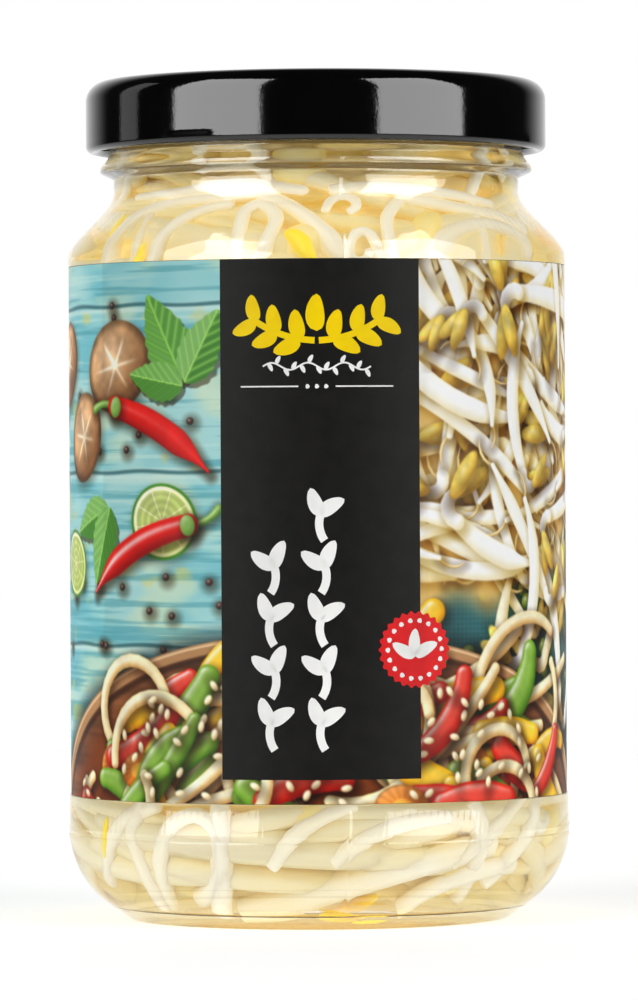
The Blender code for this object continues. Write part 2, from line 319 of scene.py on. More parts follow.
class NodeSheet:
    """A node tree, with short calls that add nodes and feed their inputs."""

    by_place = ("first", "second", "third")

    def __init__(self, tree: bpy.types.NodeTree) -> None:
        """Take the tree that the nodes go into."""
        self.tree = tree

    def feed(self, node: bpy.types.Node, **feeds: object) -> None:
        """Link sockets to a node's inputs, or set plain values on them.

        Args:
            node: The node.
            **feeds: What each input takes, by its name with _ for a space, or as first, second or third.
        """
        for name, value in feeds.items():
            target = node.inputs[self.by_place.index(name) if name in self.by_place else name.replace("_", " ")]
            if isinstance(value, bpy.types.NodeSocket):
                self.tree.links.new(value, target)
            else:
                target.default_value = (*value, 1.0) if target.type == "RGBA" else value

    def node(self, kind: str, **values: object) -> bpy.types.Node:
        """Add a node.

        Args:
            kind: The node's type.
            **values: Its settings, by attribute name, and its inputs, as feed takes them.

        Returns:
            The new node.
        """
        new = self.tree.nodes.new(kind)
        settings = {name: value for name, value in values.items() if hasattr(new, name)}
        for name, value in settings.items():
            setattr(new, name, value)
        self.feed(new, **{name: value for name, value in values.items() if name not in settings})
        return new

    def math(self, operation: str, *values: object, clamp: bool = False) -> bpy.types.NodeSocket:
        """Work a number out.

        Args:
            operation: The sum's kind.
            *values: Its sockets or plain numbers, in order.
            clamp: Whether the result is kept from 0 to 1.

        Returns:
            The result's socket.
        """
        feeds = dict(zip(self.by_place, values))
        return self.node("ShaderNodeMath", operation=operation, use_clamp=clamp, **feeds).outputs[0]

    def vector(self, operation: str, output: str, **feeds: object) -> bpy.types.NodeSocket:
        """Work a vector, or its length, out: the socket of a Vector Math node's output."""
        return self.node("ShaderNodeVectorMath", operation=operation, **feeds).outputs[output]

    def noise(self, start: bpy.types.NodeOutputs, detail: float) -> bpy.types.NodeSocket:
        """A group's noise, on its inputs Vector, Stretch and Scale."""
        spot = self.vector("MULTIPLY", "Vector", first=start["Vector"], second=start["Stretch"])
        return self.node("ShaderNodeTexNoise", Vector=spot, Scale=start["Scale"], Detail=detail).outputs["Fac"]

    def ramp(
        self, source: bpy.types.NodeSocket, span: Iterable, result: Point = (0.0, 1.0), shape: str = "SMOOTHSTEP"
    ) -> bpy.types.NodeSocket:
        """A step from one value to another.

        Args:
            source: The socket that it follows.
            span: Where the step starts and ends, as numbers or sockets.
            result: Its values there.
            shape: The step's interpolation.

        Returns:
            The step's socket.
        """
        ends = dict(zip(("From_Min", "From_Max", "To_Min", "To_Max"), (*span, *result)))
        return self.node("ShaderNodeMapRange", interpolation_type=shape, Value=source, **ends).outputs["Result"]


class ShaderSheet(NodeSheet):
    """A material's node tree, with what the finishes share."""

    def __init__(self, name: str, **values: object) -> None:
        """Start a material with one Principled shader.

        Args:
            name: The finish's name.
            **values: What the shader's inputs take.
        """
        self.material = bpy.data.materials.new(name)
        self.material.use_nodes = True
        super().__init__(self.material.node_tree)
        self.principled = self.tree.nodes["Principled BSDF"]
        self.spot = self.node("ShaderNodeTexCoord").outputs["Object"]
        self.set(**values)

    def set(self, **values: object) -> None:
        """Feed the Principled shader."""
        self.feed(self.principled, **values)

    def clouds(self, light: Colour, dark: Colour, scale: float, bias: float = 0.0) -> bpy.types.NodeSocket:
        """Soft clouds of two colours, of which the dark one gains with the bias."""
        values = {"Vector": self.spot, "Light": light, "Dark": dark, "Scale": scale, "Bias": bias}
        return self.node("ShaderNodeGroup", node_tree=Effects.mottle, **values).outputs["Color"]

    def grain(
        self, scale: float, roughness: float, wander: float, bump: Point = (0.0, 0.0),
        stretch: tuple[float, float, float] = (1.0, 1.0, 1.0),
    ) -> None:
        """Give the surface a fine grain.

        Args:
            scale: The grain's scale.
            roughness: The middle roughness.
            wander: How far the roughness wanders round it.
            bump: The strength of its bump, and how far a height of 1 stands out.
            stretch: How the grain is stretched.
        """
        values = {"Scale": scale, "Roughness": roughness, "Wander": wander, "Stretch": stretch}
        grain = self.node("ShaderNodeGroup", node_tree=Effects.grain, Vector=self.spot, **values)
        self.set(Roughness=grain.outputs["Roughness"])
        if any(bump):
            height = grain.outputs["Height"]
            raised = self.node("ShaderNodeBump", Strength=bump[0], Distance=bump[1], Height=height)
            self.set(Normal=raised.outputs["Normal"])

    def clear_to_lamps(self, tint: Colour) -> None:
        """Let lamps light what lies behind: shadow and diffuse rays pass straight through, tinted."""
        path = self.node("ShaderNodeLightPath").outputs
        either = self.math("MAXIMUM", path["Is Shadow Ray"], path["Is Diffuse Ray"])
        clear = self.node("ShaderNodeBsdfTransparent", Color=tint).outputs["BSDF"]
        plain = self.principled.outputs["BSDF"]
        blend = self.node("ShaderNodeMixShader", first=either, second=plain, third=clear)
        self.feed(self.tree.nodes["Material Output"], Surface=blend.outputs["Shader"])


class Effects:
    """The shared effects, each a node group built once."""

    grain: bpy.types.NodeTree
    mottle: bpy.types.NodeTree

    @classmethod
    def build(cls) -> None:
        """Build every effect."""
        cls.grain = cls.make_grain()
        cls.mottle = cls.make_mottle()
        log.info("effects: %s, %s", cls.grain.name, cls.mottle.name)

    @staticmethod
    def start(
        name: str, inputs: dict[str, object], outputs: dict[str, str]
    ) -> tuple[NodeSheet, bpy.types.NodeOutputs, bpy.types.Node]:
        """Start a group.

        Args:
            name: Its name.
            inputs: The default of each input, a number, a vector of three or a colour of four.
            outputs: The kind of each output.

        Returns:
            Its sheet, its inputs' sockets and the node that takes its outputs.
        """
        tree = bpy.data.node_groups.new(name, "ShaderNodeTree")
        for label, value in inputs.items():
            kind = "Float" if isinstance(value, float) else ("Vector" if len(value) == 3 else "Color")
            socket = tree.interface.new_socket(name=label, in_out="INPUT", socket_type=f"NodeSocket{kind}")
            socket.default_value = value
        for label, kind in outputs.items():
            tree.interface.new_socket(name=label, in_out="OUTPUT", socket_type=f"NodeSocket{kind}")
        sheet = NodeSheet(tree)
        return sheet, sheet.node("NodeGroupInput").outputs, sheet.node("NodeGroupOutput")

    @classmethod
    def make_grain(cls) -> bpy.types.NodeTree:
        """Fine grain: a height, and a roughness that wanders round its middle value.

        Returns:
            The group, with inputs Vector, Scale, Stretch, Roughness and Wander.
        """
        numbers = {"Scale": 1000.0, "Roughness": 0.4, "Wander": 0.1}
        inputs = {"Vector": (0.0, 0.0, 0.0), "Stretch": (1.0, 1.0, 1.0), **numbers}
        sheet, start, end = cls.start("surface_grain", inputs, {"Height": "Float", "Roughness": "Float"})
        noise = sheet.noise(start, 3.0)
        centred = sheet.math("SUBTRACT", noise, 0.5)
        rough = sheet.math("MULTIPLY_ADD", centred, start["Wander"], start["Roughness"])
        sheet.feed(end, Height=noise, Roughness=rough)
        return sheet.tree

    @classmethod
    def make_mottle(cls) -> bpy.types.NodeTree:
        """Soft clouds of two colours.

        Returns:
            The group, with inputs Vector, Scale, Stretch, Light, Dark and Bias.
        """
        colours = {"Light": (1.0, 1.0, 1.0, 1.0), "Dark": (0.0, 0.0, 0.0, 1.0)}
        inputs = {"Vector": (0.0, 0.0, 0.0), "Stretch": (1.0, 1.0, 1.0), "Scale": 100.0, "Bias": 0.0, **colours}
        sheet, start, end = cls.start("colour_mottle", inputs, {"Color": "Color"})
        spread = sheet.ramp(sheet.noise(start, 2.0), (0.3, 0.7), shape="LINEAR")
        share = sheet.math("ADD", spread, start["Bias"], clamp=True)
        blend = sheet.node("ShaderNodeMix", data_type="RGBA", Factor=share, A=start["Light"], B=start["Dark"])
        sheet.feed(end, Color=blend.outputs["Result"])
        return sheet.tree


@dataclass(frozen=True)
class ClearGlass:
    """Moulded soda-lime glass, faintly wavy."""

    tint: Colour = (0.985, 0.99, 0.985)
    index: float = 1.5

    def build(self) -> bpy.types.Material:
        """Make the finish's material."""
        sheet = ShaderSheet("clear_glass", Metallic=0.0, Transmission_Weight=1.0, IOR=self.index)
        sheet.set(Base_Color=self.tint)
        sheet.grain(90.0, 0.012, 0.01, (0.25, 0.15 * MM), (1.0, 1.0, 2.5))
        sheet.clear_to_lamps((0.96, 0.97, 0.96))
        return sheet.material


@dataclass(frozen=True)
class PaleBrine:
    """Salt water, faintly golden."""

    tint: Colour = (1.0, 0.985, 0.93)
    index: float = 1.34

    def build(self) -> bpy.types.Material:
        """Make the finish's material."""
        sheet = ShaderSheet("pale_brine", Metallic=0.0, Transmission_Weight=1.0, IOR=self.index, Roughness=0.0)
        sheet.set(Base_Color=sheet.clouds(self.tint, (1.0, 0.975, 0.9), 60.0, -0.2))
        sheet.clear_to_lamps((1.0, 0.98, 0.93))
        return sheet.material


@dataclass(frozen=True)
class Coat:
    """A coat in one clouded colour, or in a piece's own painted attribute, with a fine grain."""

    name: str
    light: Colour
    dark: Colour
    cloud_scale: float = 150.0
    grain_scale: float = 900.0
    roughness: float = 0.3
    wander: float = 0.15
    bump: Point = (0.3, 0.03 * MM)
    index: float = 1.5
    specular: float = 0.5
    attribute: str = ""

    def build(self) -> bpy.types.Material:
        """Make the finish's material."""
        sheet = ShaderSheet(self.name, IOR=self.index, Specular_IOR_Level=self.specular)
        sheet.grain(self.grain_scale, self.roughness, self.wander, self.bump)
        if self.attribute:
            colour = sheet.node("ShaderNodeAttribute", attribute_name=self.attribute).outputs["Color"]
        else:
            colour = sheet.clouds(self.light, self.dark, self.cloud_scale)
        sheet.set(Base_Color=colour)
        return sheet.material


@dataclass(frozen=True)
class BlackLacquer(Coat):
    """Glossy black stoving lacquer on tinplate."""

    name: str = "black_lacquer"
    light: Colour = (0.0004, 0.0004, 0.0005)
    dark: Colour = (0.001, 0.0009, 0.001)
    cloud_scale: float = 200.0
    grain_scale: float = 2600.0
    roughness: float = 0.07
    wander: float = 0.05
    bump: Point = (0.35, 0.02 * MM)
    index: float = 1.6


@dataclass(frozen=True)
class PrintedPaper(Coat):
    """Printed paper with a satin varnish, by itself black."""

    light: Colour = (0.0045, 0.0043, 0.004)
    dark: Colour = (0.007, 0.0068, 0.0062)
    cloud_scale: float = 400.0
    grain_scale: float = 1500.0
    roughness: float = 0.45
    wander: float = 0.12
    bump: Point = (0.15, 0.02 * MM)
    specular: float = 0.1


@dataclass(frozen=True)
class SproutFlesh:
    """Wet plant flesh that light soaks into, darkened by a painted golden tint where it lies deep in the brine,
    with painted light from an emission that lifts its shade and fades towards the neck's top and the heel.
    """

    name: str
    light: Colour
    dark: Colour
    # Painted depth shade: the golden tint that the clouds are multiplied by where the flesh lies deep, for the
    # brine's colour and the shade among the sprouts.
    deep: Colour
    # Painted light: the emission colours near the glass and deep in the jar.
    painted_glow: Colour
    painted_deep_glow: Colour
    soak: float = 0.35
    # The radii at which the painted depth shade starts and is full, and how far the measured radius is moved where
    # the jar narrows at the shoulder and the heel.
    shallow: float = 32.8 * MM
    sunk: float = 29.3 * MM
    narrowed: tuple[tuple[float, float, float], ...] = (
        (93.0 * MM, 105.0 * MM, 6.4 * MM), (12.0 * MM, 4.5 * MM, 5.0 * MM),
    )
    # Painted shade on the emission: between each pair of heights it fades to the share given.
    dimmed: tuple[tuple[float, float, float], ...] = ((103.0 * MM, 108.0 * MM, 0.15), (22.0 * MM, 12.0 * MM, 0.3))

    def build(self) -> bpy.types.Material:
        """Make the finish's material."""
        sheet = ShaderSheet(self.name, Specular_IOR_Level=0.12, Emission_Strength=1.0)
        sheet.set(Subsurface_Weight=self.soak, Subsurface_Radius=(1.0, 0.95, 0.7), Subsurface_Scale=1.2 * MM)
        sheet.grain(700.0, 0.35, 0.2, (0.2, 0.1 * MM))
        height = sheet.node("ShaderNodeSeparateXYZ", first=sheet.spot).outputs["Z"]
        mix = {"data_type": "RGBA", "Factor": self.depth(sheet, height)}
        clouds = sheet.clouds(self.light, self.dark, 110.0, -0.1)
        # Painted depth shade: the clouds multiplied by the golden tint where the flesh lies deep.
        tinted = sheet.node("ShaderNodeMix", blend_type="MULTIPLY", A=clouds, B=self.deep, **mix)
        # Painted light: emission though the flesh is no lamp, more golden deep in the jar.
        light = sheet.node("ShaderNodeMix", A=self.painted_glow, B=self.painted_deep_glow, **mix).outputs["Result"]
        # Painted shade: the emission fades towards the neck's top and towards the heel.
        for bright, dim, left in self.dimmed:
            fade = sheet.ramp(height, (bright, dim), (1.0, left))
            light = sheet.vector("SCALE", "Vector", first=light, Scale=fade)
        sheet.set(Base_Color=tinted.outputs["Result"], Emission_Color=light)
        return sheet.material

    def depth(self, sheet: ShaderSheet, height: bpy.types.NodeSocket) -> bpy.types.NodeSocket:
        """How deep behind the glass a place lies, from 0 to 1.

        Args:
            sheet: The material's sheet.
            height: The place's height.

        Returns:
            The depth's socket.
        """
        level = sheet.vector("MULTIPLY", "Vector", first=sheet.spot, second=(1.0, 1.0, 0.0))
        reach = sheet.vector("LENGTH", "Value", first=level)
        for full, narrow, narrowing in self.narrowed:
            reach = sheet.math("ADD", reach, sheet.ramp(height, (full, narrow), (0.0, narrowing)))
        return sheet.ramp(reach, (self.shallow, self.sunk))


class LampUse(Enum):
    """What a lamp is for."""

    FILL = "lights surfaces"
    GLOSS = "shows in gloss"


@dataclass
class Studio:
    """A pale floor under soft boxes, and the camera at the photograph's angle."""

    distance: float = 0.905
    camera_height: float = 62.6 * MM
    lens: float = 224.7
    sensor: float = 36.0
    tilt_deg: float = -0.138
    roll_deg: float = -0.3
    sideways: float = 0.2 * MM
    floor_radius: float = 0.8
    floor_solid: float = 0.14
    floor_glow: float = 0.5
    box_distance: float = 1.2
    gloss_light: float = 5.2
    fill_light: float = 3.6

    def build(self) -> None:
        """Build the floor, the lights, the surroundings and the camera."""
        self.make_floor()
        self.make_surroundings()
        for side, azimuth_deg in (("left", -50.5), ("right", 54.0)):
            self.make_lamp(f"soft_box_{side}", azimuth_deg, 1.04, 1.75, self.gloss_light, LampUse.GLOSS)
            self.make_lamp(f"soft_fill_{side}", azimuth_deg, 1.04, 1.75, self.fill_light, LampUse.FILL)
        self.make_lamp("weak_panel", -106.0, 0.3, 1.0, 0.7, LampUse.GLOSS)
        self.make_camera()
        scene = bpy.context.scene
        scene.view_settings.view_transform = "Standard"

    def make_floor(self) -> None:
        """A round pale floor, level with the bearing ring."""
        clear_selection()
        bpy.ops.mesh.primitive_circle_add(vertices=96, radius=self.floor_radius, fill_type="NGON")
        floor = bpy.context.object
        floor.name = "floor"
        sheet = ShaderSheet("studio_floor", Specular_IOR_Level=0.1)
        sheet.set(Emission_Color=(1.0, 1.0, 1.0), Emission_Strength=self.floor_glow)
        sheet.grain(300.0, 0.75, 0.1)
        sheet.set(Base_Color=sheet.clouds((0.93, 0.93, 0.93), (0.9, 0.9, 0.9), 3.0))
        reach = sheet.vector("LENGTH", "Value", first=sheet.spot)
        sheet.set(Alpha=sheet.ramp(reach, (self.floor_radius, self.floor_solid)))
        dress(floor, sheet.material)
        log.info("floor: round, %.1f m across", 2.0 * self.floor_radius)

    def make_surroundings(self) -> None:
        """A white backdrop behind the jar, narrower in gloss, and a dim room in front of it."""
        world = bpy.data.worlds.new("studio")
        bpy.context.scene.world = world
        world.use_nodes = True
        sheet = NodeSheet(world.node_tree)
        path = sheet.node("ShaderNodeLightPath").outputs
        way = sheet.node("ShaderNodeTexCoord").outputs["Generated"]
        behind = sheet.node("ShaderNodeSeparateXYZ", first=way).outputs["Y"]
        span = [
            sheet.math("MULTIPLY_ADD", path["Is Glossy Ray"], narrow - wide, wide)
            for wide, narrow in ((0.35, 0.6), (0.75, 0.98))
        ]
        seen = sheet.math("MAXIMUM", path["Is Camera Ray"], path["Is Transmission Ray"])
        strength = sheet.math("MAXIMUM", sheet.ramp(behind, span, (0.02, 1.0)), seen)
        sheet.feed(sheet.tree.nodes["Background"], Color=(1.0, 1.0, 1.0), Strength=strength)

    def make_lamp(
        self, name: str, azimuth_deg: float, width: float, height: float, light: float, use: LampUse
    ) -> None:
        """An upright rectangular soft lamp that stands near the floor and faces the jar.

        Args:
            name: The lamp's name.
            azimuth_deg: How far round it stands from the camera, to the right.
            width: Its width.
            height: Its height.
            light: Its radiance, with 1 as white.
            use: Whether it lights surfaces or shows in gloss.
        """
        clear_selection()
        spot = on_ring(self.box_distance, math.radians(FRONT_DEG + azimuth_deg), height / 2.0 + 0.02)
        bpy.ops.object.light_add(type="AREA", location=spot)
        lamp = bpy.context.object
        lamp.name = name
        lamp.rotation_euler = Vector((spot.x, spot.y, 0.0)).to_track_quat("Z", "Y").to_euler()
        lamp.data.shape = "RECTANGLE"
        lamp.data.size = width
        lamp.data.size_y = height
        lamp.data.energy = light * math.pi * width * height
        lamp.visible_glossy = use is LampUse.GLOSS
        lamp.visible_transmission = use is LampUse.GLOSS
        lamp.visible_diffuse = use is LampUse.FILL
        log.info("lamp %s: %.2f by %.2f m", name, width, height)

    def make_camera(self) -> None:
        """The camera, level with the middle of the label."""
        clear_selection()
        bpy.ops.object.camera_add(location=(self.sideways, -self.distance, self.camera_height))
        camera = bpy.context.object
        camera.name = "camera"
        level = Matrix.Rotation(math.radians(90.0 + self.tilt_deg), 4, "X")
        roll = Matrix.Rotation(math.radians(self.roll_deg), 4, "Z")
        camera.rotation_euler = (level @ roll).to_euler()
        camera.data.lens = self.lens
        camera.data.sensor_width = self.sensor
        camera.data.sensor_fit = "AUTO"
        camera.data.clip_start = 0.01
        bpy.context.scene.camera = camera
        log.info("camera: %.3f m away, %.1f mm lens", self.distance, self.lens)


@dataclass
class GlassJar:
    """The glass: one turned shell with its thread, mould seams and knurled heel."""

    body_radius: float = 36.2 * MM
    panel_radius: float = 35.38 * MM
    upper_band_radius: float = 36.02 * MM
    lower_band_radius: float = 36.15 * MM
    heel_radius: float = 13.1 * MM
    heel_end: float = 29.9 * MM
    bearing_outer: float = 27.6 * MM
    bearing_inner: float = 25.7 * MM
    push_up: float = 2.2 * MM
    push_up_shoulder: Point = (3.0 * MM, 1.5 * MM)
    panel_low: float = 18.0 * MM
    panel_high: float = 94.2 * MM
    step_height: float = 0.02 * MM
    neck_radius: float = 29.3 * MM
    neck_low: float = 105.0 * MM
    neck_high: float = 106.75 * MM
    bead_radius: float = 31.25 * MM
    bead_height: float = 108.3 * MM
    finish_radius: float = 29.8 * MM
    finish_low: float = 110.5 * MM
    lip_height: float = 119.05 * MM
    lip_round: float = 0.9 * MM
    inside_radius: float = 33.3 * MM
    inside_floor: float = 4.5 * MM
    inside_heel: float = 9.0 * MM
    inside_shoulder_low: float = 93.0 * MM
    inside_shoulder_top: float = 105.0 * MM
    bore_radius: float = 26.9 * MM
    thread_starts: int = 4
    thread_first_deg: float = 48.0
    thread_lead: float = 6.0 * MM
    thread_span_deg: float = 70.0
    thread_low: float = 113.05 * MM
    thread_centre_radius: float = 30.1 * MM
    thread_thickness: float = 0.8 * MM
    thread_points: int = 18
    steps: int = 208
    knurl_rows: Point = (12.2 * MM, 13.5 * MM)
    knurl_half: float = 0.3 * MM
    knurl_reach: float = 5.0 * MM
    knurl_rise: float = 0.07 * MM
    seam_deg: float = -83.5
    seam_width: float = 0.35 * MM
    seam_rise: float = 0.1 * MM
    baffle_seam_height: float = 2.0 * MM
    baffle_seam_rise: float = 0.1 * MM

    def inside_profile(self) -> list[Point]:
        """The inner wall, from the floor's middle up to the mouth."""
        points = [(0.0, self.inside_floor)]
        heel = (self.inside_radius - self.inside_heel, self.inside_floor + self.inside_heel)
        points += arc(heel, self.inside_heel, -90.0, 0.0, 12)
        low = (self.inside_radius, self.inside_shoulder_low)
        points += smooth_step(low, (self.bore_radius, self.inside_shoulder_top), 14)
        points.append((self.bore_radius, self.lip_height - self.lip_round))
        return points

    def wall(self, height: float) -> float:
        """The inner wall's radius at a height."""
        for (low_radius, low), (high_radius, high) in pairwise(self.inside_profile()):
            if low <= height <= high and high > low:
                return low_radius + (high_radius - low_radius) * (height - low) / (high - low)
        return self.bore_radius

    def outside_profile(self) -> list[Point]:
        """The outer wall, from the lip down to the underside's middle."""
        lip = (self.finish_radius - self.lip_round, self.lip_height - self.lip_round)
        points = arc((self.bore_radius + self.lip_round, lip[1]), self.lip_round, 180.0, 90.0, 5)[1:]
        points += arc(lip, self.lip_round, 90.0, 0.0, 5)
        points.append((self.finish_radius, self.finish_low))
        bead_top = (self.bead_radius, self.bead_height)
        points += smooth_step((self.finish_radius + GAP, self.finish_low - GAP), bead_top, 8)
        bead_low = (self.bead_radius, self.bead_height - GAP)
        points += smooth_step(bead_low, (self.neck_radius, self.neck_high), 8)
        band = (self.upper_band_radius, self.panel_high + MM)
        points += smooth_step((self.neck_radius, self.neck_low), band, 20)
        points += [(self.upper_band_radius, self.panel_high + self.step_height)]
        points += [(self.panel_radius, self.panel_high), (self.panel_radius, self.panel_low)]
        points += [(self.lower_band_radius, self.panel_low - self.step_height)]
        points += self.heel_profile()
        points += [(self.bearing_outer - GAP, 0.0), (self.bearing_inner, 0.0)]
        shoulder = (self.bearing_inner - self.push_up_shoulder[0], self.push_up_shoulder[1])
        points += smooth_step((self.bearing_inner - GAP, GAP), shoulder, 4)
        points.append((0.0, self.push_up))
        return points

    def heel_profile(self) -> list[Point]:
        """The round heel, with a fine ridge where the mould's bottom plate met its sides."""
        centre = (self.body_radius - self.heel_radius, self.heel_radius)
        lift = math.degrees(math.acos((self.heel_end - centre[0]) / self.heel_radius))
        points = arc(centre, self.heel_radius, 0.0, -lift, 36)
        ridge = []
        for point, after in pairwise(points):
            ridge.append(point)
            if after[1] < self.baffle_seam_height <= point[1]:
                middle = ((point[0] + after[0]) / 2.0, (point[1] + after[1]) / 2.0)
                rise = 1.0 + self.baffle_seam_rise / self.heel_radius
                place = (centre[0] + (middle[0] - centre[0]) * rise, centre[1] + (middle[1] - centre[1]) * rise)
                ridge.append(place)
        ridge += [points[-1], (self.bearing_outer, GAP / 2.0)]
        return ridge

    def build(self) -> bpy.types.Object:
        """Turn the glass, raise its seams, knurl and threads, and dress it.

        Returns:
            The glass.
        """
        glass = turn("glass_body", self.inside_profile() + self.outside_profile(), self.steps)
        self.raise_seams(glass)
        self.raise_knurl(glass)
        smooth(glass, 38.0)
        self.add_threads(glass)
        smooth(glass, 38.0)
        dress(glass, ClearGlass().build())
        place(glass, Body.JAR, Slot.GLASS, "jar_glass")
        return glass

    def outer_wall(self, point: Vector) -> bool:
        """Whether a point is on the outer wall, above the heel's underside."""
        radius = math.hypot(point.x, point.y)
        return point.z > 2.0 * MM and radius > self.wall(point.z) + MM

    def raise_seams(self, glass: bpy.types.Object) -> None:
        """Cut fine strips at the mould's two joints and raise their middles.

        Args:
            glass: The turned glass.
        """
        angle = math.radians(self.seam_deg)
        across = Vector((-math.sin(angle), math.cos(angle), 0.0))
        for shift in (-self.seam_width / 2.0, 0.0, self.seam_width / 2.0):
            select_vertices(glass, lambda point: point.z > 2.0 * MM)
            bpy.ops.mesh.bisect(plane_co=across * shift, plane_no=across)
        select_vertices(glass, lambda point: abs(point.dot(across)) < WELD and self.outer_wall(point))
        grow_radially(1.0 + self.seam_rise / self.body_radius)

    def raise_knurl(self, glass: bpy.types.Object) -> None:
        """Raise two rows of fine beads round the heel, which grip the conveyor.

        Args:
            glass: The turned glass.
        """
        for row in self.knurl_rows:
            low, high = row - self.knurl_half, row + self.knurl_half
            for level in (low, high):
                select_vertices(
                    glass, lambda point: abs(point.z - row) < self.knurl_reach and self.outer_wall(point)
                )
                bpy.ops.mesh.bisect(plane_co=(0.0, 0.0, level), plane_no=(0.0, 0.0, 1.0))
            select_vertices(glass, lambda point: low - WELD < point.z < high + WELD and self.outer_wall(point))
            bpy.ops.mesh.subdivide(number_cuts=2)
            bpy.ops.object.mode_set(mode="OBJECT")
            column = math.tau / self.steps / 3.0

            def bead(point: Vector) -> bool:
                if not low + WELD < point.z < high - WELD or not self.outer_wall(point):
                    return False
                return round(math.atan2(point.y, point.x) / column) % 3 == 0

            select_vertices(glass, bead)
            grow_radially(1.0 + self.knurl_rise / self.body_radius)

    def add_threads(self, glass: bpy.types.Object) -> None:
        """Unite the four thread starts with the finish.

        Args:
            glass: The turned glass.
        """
        starts = []
        for start in range(self.thread_starts):
            first = self.thread_first_deg + 360.0 / self.thread_starts * start
            places = []
            for step in range(self.thread_points):
                turned = self.thread_span_deg * step / (self.thread_points - 1)
                height = self.thread_low + self.thread_lead * turned / 360.0
                places.append(on_ring(self.thread_centre_radius, math.radians(first + turned), height))
            radii = [self.thread_thickness] * self.thread_points
            starts.append(rod(f"thread_{start}", [places], [radii], 3))
        unite(glass, starts)


def rod(
    name: str, routes: list[list[Vector]], radii: list[list[float]], resolution: int
) -> bpy.types.Object:
    """Round rods along routes, as one mesh of closed tubes.

    Args:
        name: The object's name.
        routes: The points of each rod.
        radii: The radius at each point.
        resolution: The bevel's resolution, which sets how many sides a rod has.

    Returns:
        The mesh object.
    """
    clear_selection()
    bpy.ops.curve.primitive_nurbs_path_add()
    source = bpy.context.object
    curve = source.data
    curve.splines.clear()
    widest = max(max(row) for row in radii)
    curve.bevel_depth = widest
    curve.bevel_resolution = resolution
    curve.resolution_u = 1
    curve.use_fill_caps = True
    for route, row in zip(routes, radii):
        spline = curve.splines.new("POLY")
        spline.points.add(len(route) - 1)
        for point, spot, radius in zip(spline.points, route, row):
            point.co = (*spot, 1.0)
            point.radius = radius / widest
    bpy.ops.object.convert(target="MESH")
    piece = bpy.context.object
    piece.name = name
    bpy.ops.object.mode_set(mode="EDIT")
    close_edit()
    return piece


